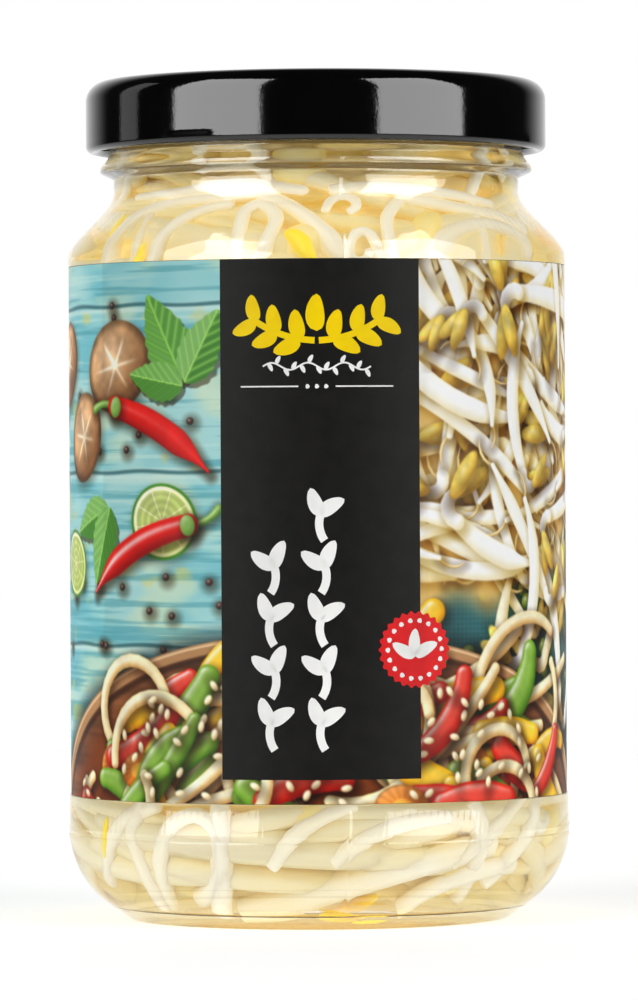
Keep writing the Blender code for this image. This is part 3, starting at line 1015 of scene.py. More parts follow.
@dataclass
class TwistLid:
    """The pressed lid: raised rim, button, rolled skirt edge and four lugs."""

    radius: float = 33.3 * MM
    top: float = 121.0 * MM
    round_edge: float = 2.85 * MM
    sheet: float = 0.45 * MM
    rim_inner: float = 26.6 * MM
    panel_step: float = 0.7 * MM
    panel_drop: float = 0.8 * MM
    button_radius: float = 12.0 * MM
    button_slope: float = 1.0 * MM
    button_rise: float = 0.45 * MM
    curl_height: float = 111.7 * MM
    curl_round: float = 0.95 * MM
    foot: float = 3.6 * MM
    lug_size: tuple[float, float, float] = (1.5 * MM, 8.0 * MM, 0.9 * MM)
    lug_edge: float = 0.25 * MM
    lug_reach: float = 30.4 * MM
    lug_low: float = 110.95 * MM
    lug_first_deg: float = 57.0
    lug_count: int = 4
    press: float = 0.996
    press_width: float = 4.4 * MM
    press_reach: float = 1.1 * MM
    steps: int = 192

    def profile(self) -> list[Point]:
        """The lid in section: panel, rim, skirt and curl, then back up the inside."""
        step_outer = self.rim_inner - self.panel_step
        panel = self.top - self.panel_drop
        crown = panel + self.button_rise
        points = [(0.0, crown)]
        button = (self.button_radius - self.button_slope, crown)
        points += smooth_step(button, (self.button_radius, panel), 5, flat=True)
        points += smooth_step((step_outer, panel), (self.rim_inner, self.top), 6, flat=True)
        corner = (self.radius - self.round_edge, self.top - self.round_edge)
        points += arc(corner, self.round_edge, 90.0, 0.0, 12)
        shares = (1.0, 0.7, 0.45, 0.32, 0.22, 0.11)
        points += [(self.radius, self.curl_height + share * self.foot) for share in shares]
        curl = (self.radius - self.curl_round, self.curl_height)
        points += arc(curl, self.curl_round, 0.0, -225.0, 16)
        inner = self.round_edge - self.sheet
        points.append((self.radius - self.sheet, self.curl_height + self.curl_round))
        points += arc(corner, inner, 0.0, 90.0, 8)
        points += [(self.rim_inner - self.sheet * 0.5, self.top - self.sheet)]
        points += [(step_outer - self.sheet, panel - self.sheet)]
        points.append((self.button_radius + self.sheet, panel - self.sheet))
        points.append((self.button_radius - self.button_slope, crown - self.sheet))
        points.append((0.0, crown - self.sheet))
        return points

    def press_skirt(self, lid: bpy.types.Object) -> None:
        """Press shallow hollows into the foot of the skirt, where the lugs are formed.

        Args:
            lid: The turned lid.
        """
        low, high = self.curl_height - self.curl_round, self.curl_height + WELD
        for index in range(self.lug_count):
            turned = self.lug_first_deg + 360.0 / self.lug_count * index
            middle = on_ring(self.radius, math.radians(turned), 0.0).to_2d()
            select_vertices(
                lid, lambda point: low < point.z < high and (point.to_2d() - middle).length < self.press_width
            )
            bpy.ops.transform.resize(
                value=(self.press, self.press, 1.0),
                center_override=(0.0, 0.0, 0.0),
                use_proportional_edit=True,
                proportional_edit_falloff="SMOOTH",
                proportional_size=self.press_reach,
            )
            bpy.ops.object.mode_set(mode="OBJECT")

    def make_lug(self, index: int) -> bpy.types.Object:
        """One inward tongue of the curl, pressed flat, which hooks under a thread start.

        Args:
            index: Which of the lugs it is.

        Returns:
            The lug, in place.
        """
        clear_selection()
        turned = math.radians(self.lug_first_deg + 360.0 / self.lug_count * index)
        spot = on_ring(self.lug_reach + self.lug_size[0] / 2.0, turned, self.lug_low + self.lug_size[2] / 2.0)
        bpy.ops.mesh.primitive_cube_add(size=1.0, location=spot, rotation=(0.0, 0.0, turned))
        lug = bpy.context.object
        lug.scale = self.lug_size
        bpy.ops.object.transform_apply(location=True, rotation=True, scale=True)
        modify(lug, "BEVEL", width=self.lug_edge, segments=3)
        return lug

    def build(self) -> bpy.types.Object:
        """Turn the lid, unite its lugs with it and dress it.

        Returns:
            The lid.
        """
        lid = turn("lid_shell", self.profile(), self.steps)
        self.press_skirt(lid)
        unite(lid, [self.make_lug(index) for index in range(self.lug_count)])
        smooth(lid, 50.0)
        self.dress(lid)
        place(lid, Body.LID, Slot.LACQUER, "lid")
        return lid

    def dress(self, lid: bpy.types.Object) -> None:
        """Lacquer the outside black and the inside gold.

        Args:
            lid: The lid.
        """
        dress(lid, BlackLacquer().build(), Coat("lid_inside", (0.62, 0.47, 0.2), (0.5, 0.37, 0.15)).build())
        for face in lid.data.polygons:
            inward = outward(face).dot(face.normal) < 0.0
            faces_in = face.normal.z < -0.5 or (inward and face.normal.z < 0.3)
            face.material_index = 1 if faces_in and face.center.z > self.curl_height + self.curl_round else 0


@dataclass
class Liner:
    """The ring of soft sealing compound, which keeps its CAD shape."""

    def build(self) -> None:
        """Dress the ring."""
        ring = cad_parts["liner"]
        colours = ((0.76, 0.74, 0.69), (0.68, 0.66, 0.6))
        finish = Coat("sealing_compound", *colours, roughness=0.55, grain_scale=1400.0)
        dress(ring, finish.build())
        log.info("liner: the CAD ring, dressed")


@dataclass
class Brine:
    """The liquid, from the jar's floor to its level in the neck."""

    glass: GlassJar
    level: float = 113.5 * MM
    overlap: float = 0.02 * MM
    meniscus: float = 0.5 * MM
    steps: int = 144

    def build(self) -> bpy.types.Object:
        """Turn the liquid a hair into the glass, so that no air lies between, and dress it.

        Returns:
            The liquid.
        """
        points = [
            (radius + (self.overlap if radius > 0.0 else 0.0), height - self.overlap)
            for radius, height in self.glass.inside_profile()
            if height < self.level - self.meniscus
        ]
        rim = self.glass.bore_radius + self.overlap
        points.append((rim, self.level))
        edge = (rim - 2.0 * self.meniscus, self.level - self.meniscus)
        points += smooth_step((rim, self.level), edge, 5, flat=True)[1:]
        points.append((0.0, self.level - self.meniscus))
        liquid = turn("brine_fill", points, self.steps)
        smooth(liquid, 50.0)
        dress(liquid, PaleBrine().build())
        place(liquid, Body.JAR, Slot.BRINE, "brine")
        return liquid


def display_to_linear(ink: np.ndarray) -> np.ndarray:
    """Turn display colours into the linear ones that a colour attribute holds."""
    return np.where(ink <= 0.04045, ink / 12.92, ((ink + 0.055) / 1.055) ** 2.4)


def ease(low: np.ndarray | float, high: np.ndarray | float, value: np.ndarray) -> np.ndarray:
    """A smooth step from 0 at low to 1 at high."""
    share = np.clip((value - low) / (high - low), 0.0, 1.0)
    return share * share * (3.0 - 2.0 * share)


def shade_rgb(*levels: int) -> np.ndarray:
    """A display colour from three levels of 0 to 255."""
    return np.array(levels, dtype=float) / 255.0


@dataclass(frozen=True)
class Paint:
    """How one painted thing takes the light of its picture, with its two colours in levels of 0 to 255.

    A flatness over 1 gives a strand a flat top between round edges.
    """

    body: tuple[int, int, int]
    dark: tuple[int, int, int]
    gloss: float = 0.3
    sharpness: float = 18.0
    shadow: float = 0.5
    mottle: float = 0.12
    shade: Colour = (0.78, 0.9, 1.0)
    flatness: float = 1.0


@dataclass(frozen=True)
class Spot:
    """A place on the label in millimetres: across from the front's middle, and up."""

    across: float
    up: float

    def array(self) -> np.ndarray:
        """The place as an array."""
        return np.array((self.across, self.up))

    def beyond(self, way_deg: float, reach: float) -> "Spot":
        """The place that lies a reach away in a direction."""
        way = math.radians(way_deg)
        return Spot(self.across + reach * math.cos(way), self.up + reach * math.sin(way))


def heading_deg(line: np.ndarray, end: int = -1) -> float:
    """The direction in which a line runs out at its last point, or at its first with end 0."""
    step = line[0] - line[1] if end == 0 else line[-1] - line[-2]
    return math.degrees(math.atan2(step[1], step[0]))


def bowed(start: Spot, length: float, turn_deg: float, bow: float, count: int = 9) -> np.ndarray:
    """A bowed line.

    Args:
        start: Its first point.
        length: Its length.
        turn_deg: Its middle's direction.
        bow: How far it turns from end to end, in degrees.
        count: How many points it has.

    Returns:
        The points.
    """
    points = [start.array()]
    for step in range(count - 1):
        heading = math.radians(turn_deg + bow * (step / (count - 2) - 0.5))
        points.append(points[-1] + np.array((math.cos(heading), math.sin(heading))) * length / (count - 1))
    return np.array(points)


class Picture:
    """A picture painted back to front on a fine raster round the label, in display colours."""

    shadow_shift = np.array((0.5, -0.65))
    shadow_soft = 1.5

    def __init__(self, half: float, height: float, cell: float, seed: int) -> None:
        """Start with a bare raster.

        Args:
            half: How far the label reaches to each side, in millimetres.
            height: Its height.
            cell: The raster's cell.
            seed: The seed of the picture's random draws.
        """
        self.cell = cell
        self.left = -half
        across = np.arange(-half, half + cell, cell)
        up = np.arange(0.0, height + cell, cell)
        self.spots = np.stack(np.meshgrid(across, up), axis=-1)
        self.ink = np.ones((*self.spots.shape[:2], 3))
        self.draw = np.random.default_rng(seed)
        self.light = np.array((-0.45, 0.55, 0.70)) / np.linalg.norm((-0.45, 0.55, 0.70))
        self.blotch = self.clouds((2.6, 2.6), 9)

    def clouds(self, size: Point, seed: int, octaves: int = 3) -> np.ndarray:
        """Smooth noise from 0 to 1.

        Args:
            size: The width and height of its largest cells, in millimetres.
            seed: Its own seed.
            octaves: How many finer layers it has.

        Returns:
            The noise at each cell of the raster.
        """
        lattice = np.random.default_rng(seed).random((97, 97))
        total = np.zeros(self.spots.shape[:2])
        weight = 0.0
        for octave in range(octaves):
            cells = self.spots / np.array(size) * 2.0**octave + 1000.0 + 13.7 * octave
            corner = np.floor(cells).astype(int)
            share = cells - corner
            share = share * share * (3.0 - 2.0 * share)
            column, row = corner[..., 0] % 96, corner[..., 1] % 96
            low = lattice[row, column] * (1.0 - share[..., 0]) + lattice[row, column + 1] * share[..., 0]
            high = lattice[row + 1, column] * (1.0 - share[..., 0]) + lattice[row + 1, column + 1] * share[..., 0]
            strength = 0.5**octave
            total += strength * (low * (1.0 - share[..., 1]) + high * share[..., 1])
            weight += strength
        return total / weight

    def wash(self, colour: np.ndarray, cover: np.ndarray) -> None:
        """Lay a colour over the whole raster as thickly as a cover of 0 to 1 says."""
        self.ink += (colour - self.ink) * cover[..., None]

    def lay(self, part: tuple[slice, slice], colour: np.ndarray, cover: np.ndarray) -> None:
        """Lay colours on a part of the raster as thickly as a cover of 0 to 1 says."""
        ink = self.ink[part].reshape(-1, 3)
        self.ink[part] = (ink + (colour - ink) * cover[:, None]).reshape(self.ink[part].shape)

    def darken(self, part: tuple[slice, slice], dark: np.ndarray, paint: Paint) -> None:
        """Cast a painted thing's shadow on a part of the raster."""
        ink = self.ink[part].reshape(-1, 3)
        self.ink[part] = (ink * (1.0 - dark[:, None] * np.array(paint.shade))).reshape(self.ink[part].shape)

    def window(self, low: np.ndarray, high: np.ndarray) -> tuple[slice, slice]:
        """The part of the raster between two corners."""
        rows, columns = self.ink.shape[:2]
        first = ((low - (self.left, 0.0)) / self.cell).astype(int)
        last = ((high - (self.left, 0.0)) / self.cell).astype(int) + 2
        first = np.clip(first, 0, (columns, rows))
        last = np.clip(last, 0, (columns, rows))
        return slice(first[1], last[1]), slice(first[0], last[0])

    def sample(self, across: np.ndarray, up: np.ndarray) -> np.ndarray:
        """The picture's colours at places on the label, blended between cells."""
        rows, columns = self.ink.shape[:2]
        x = np.clip((across - self.left) / self.cell, 0.0, columns - 1.001)
        y = np.clip(up / self.cell, 0.0, rows - 1.001)
        column, row = x.astype(int), y.astype(int)
        x, y = (x - column)[:, None], (y - row)[:, None]
        low = self.ink[row, column] * (1.0 - x) + self.ink[row, column + 1] * x
        high = self.ink[row + 1, column] * (1.0 - x) + self.ink[row + 1, column + 1] * x
        return low * (1.0 - y) + high * y

    def measure(self, spots: np.ndarray, line: np.ndarray) -> tuple[np.ndarray, np.ndarray, np.ndarray]:
        """How points lie to a line.

        Args:
            spots: The points.
            line: The line's own points.

        Returns:
            Each point's distance, its share along the line and its offset from it.
        """
        steps = np.diff(line, axis=0)
        relative = spots[:, None, :] - line[None, :-1]
        share = np.clip((relative * steps).sum(-1) / (steps**2).sum(-1), 0.0, 1.0)
        offset = relative - share[..., None] * steps
        distance = np.hypot(offset[..., 0], offset[..., 1])
        nearest = distance.argmin(axis=1)
        rows = np.arange(len(spots))
        return distance[rows, nearest], (nearest + share[rows, nearest]) / len(steps), offset[rows, nearest]

    def lit(self, normal: np.ndarray, paint: Paint) -> np.ndarray:
        """Colours under the picture's light.

        Args:
            normal: The surface's normals.
            paint: The thing's paint.

        Returns:
            The colours.
        """
        body, dark = shade_rgb(*paint.body), shade_rgb(*paint.dark)
        lambert = np.clip(normal @ self.light, 0.0, 1.0)
        colour = dark + (body - dark) * np.clip(0.3 + 1.0 * lambert, 0.0, 1.08)[:, None]
        half = self.light + np.array((0.0, 0.0, 1.0))
        glint = np.clip(normal @ (half / np.linalg.norm(half)), 0.0, 1.0) ** paint.sharpness
        return colour + (1.0 - colour) * np.clip(paint.gloss * glint, 0.0, 1.0)[:, None]

    def strand(self, line: np.ndarray, half_width: float, paint: Paint, taper: Point = (0.6, 1.0)) -> None:
        """Paint a round or flat strand with its shadow.

        Args:
            line: Its middle line.
            half_width: Half its widest width.
            paint: Its paint.
            taper: Its width at the start and the end, as shares of the widest.
        """
        margin = half_width + self.shadow_soft + 1.0
        part = self.window(line.min(axis=0) - margin, line.max(axis=0) + margin)
        spots = self.spots[part].reshape(-1, 2)
        if not len(spots):
            return
        distance, along, _ = self.measure(spots - self.shadow_shift * min(1.0, half_width), line)
        width = half_width * self.swell(along, taper)
        self.darken(part, paint.shadow * (1.0 - ease(width * 0.5, width + self.shadow_soft, distance)), paint)
        distance, along, offset = self.measure(spots, line)
        width = half_width * self.swell(along, taper)
        cover = 1.0 - ease(width - self.cell, width + self.cell, distance)
        bend = np.clip(distance / width, 0.0, 0.999)
        side = offset / np.maximum(distance, 1e-6)[:, None] * (bend**paint.flatness)[:, None]
        normal = np.column_stack((side, np.sqrt(1.0 - bend ** (2.0 * paint.flatness))))
        blotch = 1.0 + paint.mottle * (2.0 * self.blotch[part].reshape(-1) - 1.0)
        self.lay(part, np.clip(self.lit(normal, paint) * blotch[:, None], 0.0, 1.0), cover)

    def swell(self, along: np.ndarray, taper: Point) -> np.ndarray:
        """A strand's width along its line, as a share of its widest."""
        rise = taper[0] + (1.0 - taper[0]) * ease(0.0, 0.35, along)
        return rise * (1.0 - (1.0 - taper[1]) * ease(0.6, 1.0, along))

    def local(self, centre: Spot, size: Point, turn_deg: float, shift: np.ndarray) -> tuple:
        """The part of the raster round a thing, in the thing's own turned and scaled coordinates.

        Args:
            centre: The thing's middle.
            size: Half its length and half its width.
            turn_deg: How far its length is turned from level.
            shift: How far the thing is moved.

        Returns:
            The part, and its cells' places along and across in half lengths and half widths.
        """
        reach = max(size) * 1.1 + 2.5
        part = self.window(centre.array() - reach, centre.array() + reach)
        relative = self.spots[part].reshape(-1, 2) - centre.array() - shift
        turn_by = math.radians(turn_deg)
        along = relative @ np.array((math.cos(turn_by), math.sin(turn_by)))
        across = relative @ np.array((-math.sin(turn_by), math.cos(turn_by)))
        return part, along / size[0], across / size[1]

    def dome(
        self,
        centre: Spot,
        size: Point,
        turn_deg: float,
        paint: Paint,
        pattern: Callable[[np.ndarray, np.ndarray], np.ndarray] | None = None,
        height: float = 1.0,
    ) -> None:
        """Paint an oval thing with its shadow.

        Args:
            centre: Its middle.
            size: Half its length and half its width.
            turn_deg: How far its length is turned from level.
            paint: Its paint.
            pattern: What its colours are multiplied by, from the place along and across.
            height: How much it bulges: 1 is a half ball, and 0.3 a flat slice.
        """
        part, along, across = self.local(centre, size, turn_deg, self.shadow_shift * min(1.0, size[1]))
        if not len(along):
            return
        scale = min(size)
        dark = 1.0 - ease(0.6, 1.0 + self.shadow_soft / scale, np.hypot(along, across))
        self.darken(part, paint.shadow * dark, paint)
        part, along, across = self.local(centre, size, turn_deg, np.zeros(2))
        radius = np.hypot(along, across)
        cover = 1.0 - ease(1.0 - self.cell / scale, 1.0 + self.cell / scale, radius)
        bulge = np.clip(radius, 0.0, 0.999) ** (2.0 if height < 1.0 else 1.0) * height
        turn_by = math.radians(turn_deg)
        axes = np.array(((math.cos(turn_by), math.sin(turn_by)), (-math.sin(turn_by), math.cos(turn_by))))
        outward = np.column_stack((along, across)) / np.maximum(radius, 1e-6)[:, None] @ axes
        normal = np.column_stack((outward * bulge[:, None], np.sqrt(1.0 - bulge**2)))
        colour = self.lit(normal, paint)
        colour *= 1.0 + paint.mottle * (2.0 * self.blotch[part].reshape(-1)[:, None] - 1.0)
        if pattern is not None:
            colour = colour * pattern(along, across)
        self.lay(part, np.clip(colour, 0.0, 1.0), cover)

    def leaf(self, base: Spot, length: float, turn_deg: float, paint: Paint) -> None:
        """Paint a pointed leaf with its midrib, side veins and a fold along the middle.

        Args:
            base: Where its stalk starts.
            length: Its length.
            turn_deg: Its direction.
            paint: Its paint.
        """
        middle = base.beyond(turn_deg, length / 2.0)
        size = (length / 2.0, length * 0.3)
        for shift in (self.shadow_shift, np.zeros(2)):
            part, along, across = self.local(middle, size, turn_deg, shift)
            if not len(along):
                return
            share = np.clip((along + 1.0) / 2.0, 0.0, 1.0)
            outline = np.sin(math.pi * share**0.8) ** 0.8 * (1.0 - 0.25 * share)
            outline = outline * (1.0 + 0.05 * np.sin(share * 46.0)) + 0.035
            soft = self.cell / size[1]
            inside = (np.abs(along) < 1.0) * (1.0 - ease(outline - soft, outline + soft, np.abs(across)))
            if shift.any():
                self.darken(part, paint.shadow * inside, paint)
            else:
                self.lay(part, self.leaf_colours(share, across, turn_deg, paint), inside)

    def leaf_colours(
        self, share: np.ndarray, across: np.ndarray, turn_deg: float, paint: Paint
    ) -> np.ndarray:
        """A leaf's colours from the share along it and the place across it."""
        rib = np.exp(-((across / 0.045) ** 2))
        bow = 0.5 + 0.5 * np.cos((share - 0.38 * np.abs(across)) * 40.0)
        vein = bow**6
        tilt = np.where(across > 0.0, 0.4, -0.3) + 0.3 * (bow - 0.5)
        way = math.radians(turn_deg)
        side = np.array((-math.sin(way), math.cos(way)))
        normal = np.column_stack((side[None, :] * tilt[:, None], np.sqrt(1.0 - tilt**2)))
        colour = self.lit(normal, paint)
        pale = np.maximum(0.5 * vein, rib)[:, None] * np.array((0.22, 0.22, 0.1))
        return np.clip(colour + pale, 0.0, 1.0)

    def scatter(self, low: Spot, high: Spot, count: int) -> list[Spot]:
        """Random places in a rectangle, from the highest down, so that near things cover far ones."""
        places = self.draw.uniform(low.array(), high.array(), (count, 2))
        places = places[np.argsort(-places[:, 1] + self.draw.normal(0.0, 3.0, count))]
        return [Spot(float(across), float(up)) for across, up in places]


class Larder:
    """The paints of what the label's pictures show."""

    noodle = Paint((255, 238, 186), (206, 142, 62), gloss=0.55, sharpness=22.0, shadow=0.6)
    sprout = Paint(
        (255, 255, 250), (240, 222, 168), gloss=0.35, sharpness=12.0, mottle=0.03, shade=(0.3, 0.46, 0.9)
    )
    under = Paint(
        (250, 240, 204), (228, 196, 118), gloss=0.2, sharpness=12.0, shadow=0.45, shade=(0.35, 0.52, 0.95)
    )
    root = Paint((238, 214, 150), (170, 130, 66), shadow=0.3)
    bean_head = Paint((238, 206, 90), (158, 112, 32), gloss=0.35, shadow=0.4, mottle=0.3)
    mung = Paint((128, 150, 56), (40, 58, 20), gloss=0.6, sharpness=24.0, shadow=0.6)
    chilli = Paint((226, 26, 20), (112, 6, 8), gloss=0.8, sharpness=30.0, shadow=0.6, mottle=0.08)
    red_strip = Paint((228, 38, 18), (138, 10, 6), gloss=0.8, sharpness=20.0, shadow=0.6, flatness=2.6)
    yellow_strip = Paint((253, 196, 20), (200, 108, 6), gloss=0.75, sharpness=20.0, shadow=0.6, flatness=2.6)
    green_strip = Paint((116, 166, 40), (38, 82, 16), gloss=0.7, sharpness=20.0, shadow=0.6, flatness=2.6)
    carrot = Paint((246, 132, 28), (176, 66, 8), gloss=0.3, sharpness=14.0)
    leaf = Paint((84, 152, 50), (18, 66, 24), gloss=0.25, sharpness=8.0, shadow=0.55)
    stalk = Paint((124, 172, 70), (52, 92, 30), gloss=0.4)
    mushroom = Paint((204, 154, 104), (96, 56, 30), gloss=0.2, sharpness=6.0, shadow=0.65, mottle=0.3)
    sesame = Paint((254, 240, 200), (196, 156, 96), gloss=0.4, shadow=0.4)
    pepper = Paint((74, 50, 42), (22, 14, 12), gloss=0.4, shadow=0.5)
    lime = Paint((208, 228, 116), (124, 164, 44), gloss=0.3, shadow=0.55)


class LabelArt(Picture):
    """The label's picture: vegetables on painted boards, a platter of fried noodles, fresh sprouts."""

    platter = (0.0, -15.0, 60.0, 39.0)

    def boards(self, cover: np.ndarray, seams: Iterable[float]) -> None:
        """Paint level painted boards with worn grain.

        Args:
            cover: Where they lie.
            seams: The heights of the gaps between boards.
        """
        grain = self.clouds((26.0, 0.9), 3, 5)
        self.wash(shade_rgb(168, 218, 216), cover)
        self.wash(shade_rgb(116, 192, 202), cover * ease(0.35, 0.7, self.clouds((16.0, 9.0), 5)))
        self.wash(shade_rgb(214, 232, 198), cover * 0.7 * ease(0.52, 0.74, self.clouds((11.0, 5.0), 8)))
        self.wash(shade_rgb(200, 232, 222), cover * 0.6 * ease(0.54, 0.7, grain))
        self.wash(shade_rgb(66, 150, 162), cover * 0.5 * (1.0 - ease(0.3, 0.42, grain)))
        self.wash(shade_rgb(222, 206, 92), cover * 0.45 * ease(0.66, 0.8, self.clouds((6.0, 4.0), 11)))
        for seam in seams:
            gap = np.abs(self.spots[..., 1] - seam - 0.15 * np.sin(self.spots[..., 0] * 0.4))
            self.wash(shade_rgb(48, 96, 102), cover * 0.8 * (1.0 - ease(0.12, 0.42, gap)))
            lip = np.abs(self.spots[..., 1] - seam + 0.65)
            self.wash(shade_rgb(222, 242, 232), cover * 0.45 * (1.0 - ease(0.1, 0.5, lip)))

    def cloth(self, cover: np.ndarray) -> None:
        """Paint a dark teal cloth with a soft weave where the cover says."""
        folds = self.clouds((9.0, 14.0), 21, 2)[..., None]
        across, up = self.spots[..., 0] * 9.0, self.spots[..., 1] * 9.0
        weave = (np.sin(across) + np.sin(up))[..., None]
        tone = shade_rgb(46, 98, 102) * (0.62 + 0.7 * folds) * (1.0 + 0.05 * weave)
        self.ink += (tone - self.ink) * cover[..., None]

    def platter_radius(self, spots: np.ndarray) -> np.ndarray:
        """How far out on the round platter a place is, with 1 at its rim."""
        middle, size = np.array(self.platter[:2]), np.array(self.platter[2:])
        relative = (spots - middle) / size
        return np.hypot(relative[..., 0], relative[..., 1])

    def lay_platter(self) -> None:
        """Paint a round wooden platter with a lit rim and its shadow."""
        radius = self.platter_radius(self.spots)
        self.ink *= 1.0 - 0.6 * (1.0 - ease(0.98, 1.08, radius))[..., None]
        inside = 1.0 - ease(0.998, 1.002, radius)
        tone = shade_rgb(120, 72, 42) * (0.5 + 0.9 * self.clouds((16.0, 1.2), 31, 5)[..., None])
        self.ink += (tone - self.ink) * inside[..., None]
        rim = ease(0.955, 0.962, radius) * inside
        self.wash(shade_rgb(206, 156, 104), 0.75 * rim)
        self.wash(shade_rgb(250, 222, 176), 0.8 * (1.0 - ease(0.0, 0.007, np.abs(radius - 0.99))))
        self.wash(shade_rgb(40, 20, 10), 0.7 * (1.0 - ease(0.0, 0.02, np.abs(radius - 0.945))))

    def put_chilli(self, tip: Spot, length: float, turn_deg: float, bow: float) -> None:
        """A red chilli with its green stalk."""
        line = bowed(tip, length, turn_deg, bow, 16)
        after = heading_deg(line)
        end = Spot(*line[-1])
        self.strand(bowed(end, 5.5, after + 14.0, 44.0), 0.5, Larder.stalk, (1.5, 1.3))
        self.strand(line, 1.9, Larder.chilli, (0.12, 0.85))
        self.dome(end.beyond(after, -0.2), (1.2, 1.5), after, Larder.stalk, height=0.7)

    def put_mushroom(self, centre: Spot, size: float, turn_deg: float) -> None:
        """A brown mushroom cap with a pale star of cracks."""
        wave = self.draw.uniform(0.0, math.tau)

        def cracks(along: np.ndarray, across: np.ndarray) -> np.ndarray:
            angle = np.arctan2(across, along) * 3.0 + wave
            radius = np.hypot(along, across)
            star = np.exp(-((np.sin(angle) * radius / 0.12) ** 2)) * (1.0 - ease(0.3, 0.8, radius))
            tone = 1.0 + star[:, None] * np.array((0.3, 0.5, 0.75))
            return tone * (1.0 - 0.35 * ease(0.78, 0.98, radius)[:, None])

        self.dome(centre, (size, size * 0.84), turn_deg, Larder.mushroom, cracks)

    def put_coin(self, centre: Spot, size: float, turn_deg: float) -> None:
        """A slice of carrot with its core and rays."""

        def rings(along: np.ndarray, across: np.ndarray) -> np.ndarray:
            radius = np.hypot(along, across)
            rays = 0.5 + 0.5 * np.cos(np.arctan2(across, along) * 16.0)
            core = 1.0 - ease(0.34, 0.44, radius)
            tone = 1.0 + 0.12 * core - 0.1 * rays * ease(0.4, 0.5, radius) - 0.22 * ease(0.86, 1.0, radius)
            return tone[:, None] * (1.0 + core[:, None] * np.array((0.02, 0.16, 0.2)))

        self.dome(centre, (size, size * 0.78), turn_deg, Larder.carrot, rings, 0.35)

    def put_lime(self, centre: Spot, size: float, turn_deg: float) -> None:
        """A slice of lime: rind, pith and segments."""

        def segments(along: np.ndarray, across: np.ndarray) -> np.ndarray:
            radius = np.hypot(along, across)
            spoke = np.abs(np.sin(np.arctan2(across, along) * 4.5))
            wall = np.exp(-((spoke * radius / 0.08) ** 2))
            pith = np.maximum(wall, ease(0.8, 0.84, radius)) * (1.0 - ease(0.9, 0.93, radius))
            tone = np.ones((len(radius), 3)) * (0.9 + 0.06 * np.cos(radius * 30.0)[:, None])
            tone += pith[:, None] * np.array((0.25, 0.16, 0.6))
            return tone * (1.0 - ease(0.9, 0.94, radius)[:, None] * np.array((0.6, 0.3, 0.6)))

        self.dome(centre, (size, size * 0.9), turn_deg, Larder.lime, segments, 0.25)

    def put_sprout(self, start: Spot, length: float, turn_deg: float, half_width: float, paint: Paint) -> None:
        """A fresh sprout: a thin root tail, a fat stem and two slim yellow bean halves."""
        bow = float(self.draw.uniform(-75.0, 75.0))
        curl = math.copysign(70.0, bow)
        line = bowed(start, length, turn_deg, bow, 12)
        self.strand(bowed(start, length * 0.22, heading_deg(line, 0), -curl, 6), 0.26, Larder.root, (1.0, 0.4))
        self.strand(line, half_width, paint, (0.35, 0.75))
        crook = bowed(Spot(*line[-1]), half_width * 3.2, heading_deg(line) + curl * 0.6, curl * 1.6, 6)
        self.strand(crook, half_width * 0.7, paint, (1.0, 0.8))
        ahead = heading_deg(crook)
        for side in (-13.0, 15.0):
            middle = Spot(*crook[-1]).beyond(ahead + side, half_width * 1.9)
            self.dome(middle, (half_width * 2.4, half_width * 0.85), ahead + side, Larder.bean_head)

    def sprout_heap(self, low: Spot, high: Spot, count: int, edge: Callable[[Spot], float]) -> None:
        """A loose heap of sprouts in a rectangle, above an edge.

        Args:
            low: The rectangle's lower left corner.
            high: Its upper right corner.
            count: How many sprouts it has.
            edge: The height of its lower edge at a place.
        """
        places = [spot for spot in self.scatter(low, high, count) if spot.up > edge(spot)]
        for index, spot in enumerate(sorted(places, key=lambda _: float(self.draw.random()))):
            turn_deg = float(self.draw.normal(125.0, 42.0)) + (180.0 if self.draw.random() < 0.3 else 0.0)
            length = float(self.draw.uniform(15.0, 32.0))
            paint = Larder.under if index < 0.35 * len(places) else Larder.sprout
            self.put_sprout(spot, length, turn_deg, float(self.draw.uniform(1.0, 1.65)), paint)

    def fill_platter(self) -> None:
        """Heap noodles and fried vegetables on the platter."""
        strips = (Larder.red_strip, Larder.noodle, Larder.green_strip, Larder.noodle, Larder.yellow_strip)
        shade = 1.0 - ease(0.84, 0.93, self.platter_radius(self.spots))
        self.wash(shade_rgb(120, 52, 14), 0.85 * shade)
        for index, spot in enumerate(self.scatter(Spot(-66.0, -4.0), Spot(66.0, 24.0), 330)):
            if self.platter_radius(spot.array()) > 0.87:
                continue
            turn_deg = float(self.draw.uniform(-60.0, 60.0))
            bow = float(self.draw.uniform(-150.0, 150.0))
            kind = strips[index % len(strips)]
            if kind is Larder.noodle:
                line = bowed(spot, float(self.draw.uniform(14.0, 30.0)), turn_deg, bow * 1.7, 18)
                self.strand(line, 0.95, kind, (0.9, 0.9))
            elif index % 11 == 5:
                self.put_coin(spot, float(self.draw.uniform(3.0, 4.2)), turn_deg)
            else:
                line = bowed(spot, float(self.draw.uniform(9.0, 16.0)), turn_deg, bow * 0.4)
                self.strand(line, float(self.draw.uniform(1.5, 2.5)), kind, (0.8, 0.75))
        for spot in self.scatter(Spot(-60.0, 0.0), Spot(60.0, 22.0), 190):
            if self.platter_radius(spot.array()) < 0.88:
                self.dome(spot, (0.8, 0.48), float(self.draw.uniform(0.0, 180.0)), Larder.sesame)

    def paint(self) -> None:
        """Paint everything round the label, back to front."""
        across = self.spots[..., 0]
        right = ease(-0.2, 0.2, across)
        self.boards(1.0 - right, (22.0, 46.5, 70.0))
        self.cloth(right)
        self.paint_kitchen()
        self.paint_harvest()
        self.lay_platter()
        self.fill_platter()

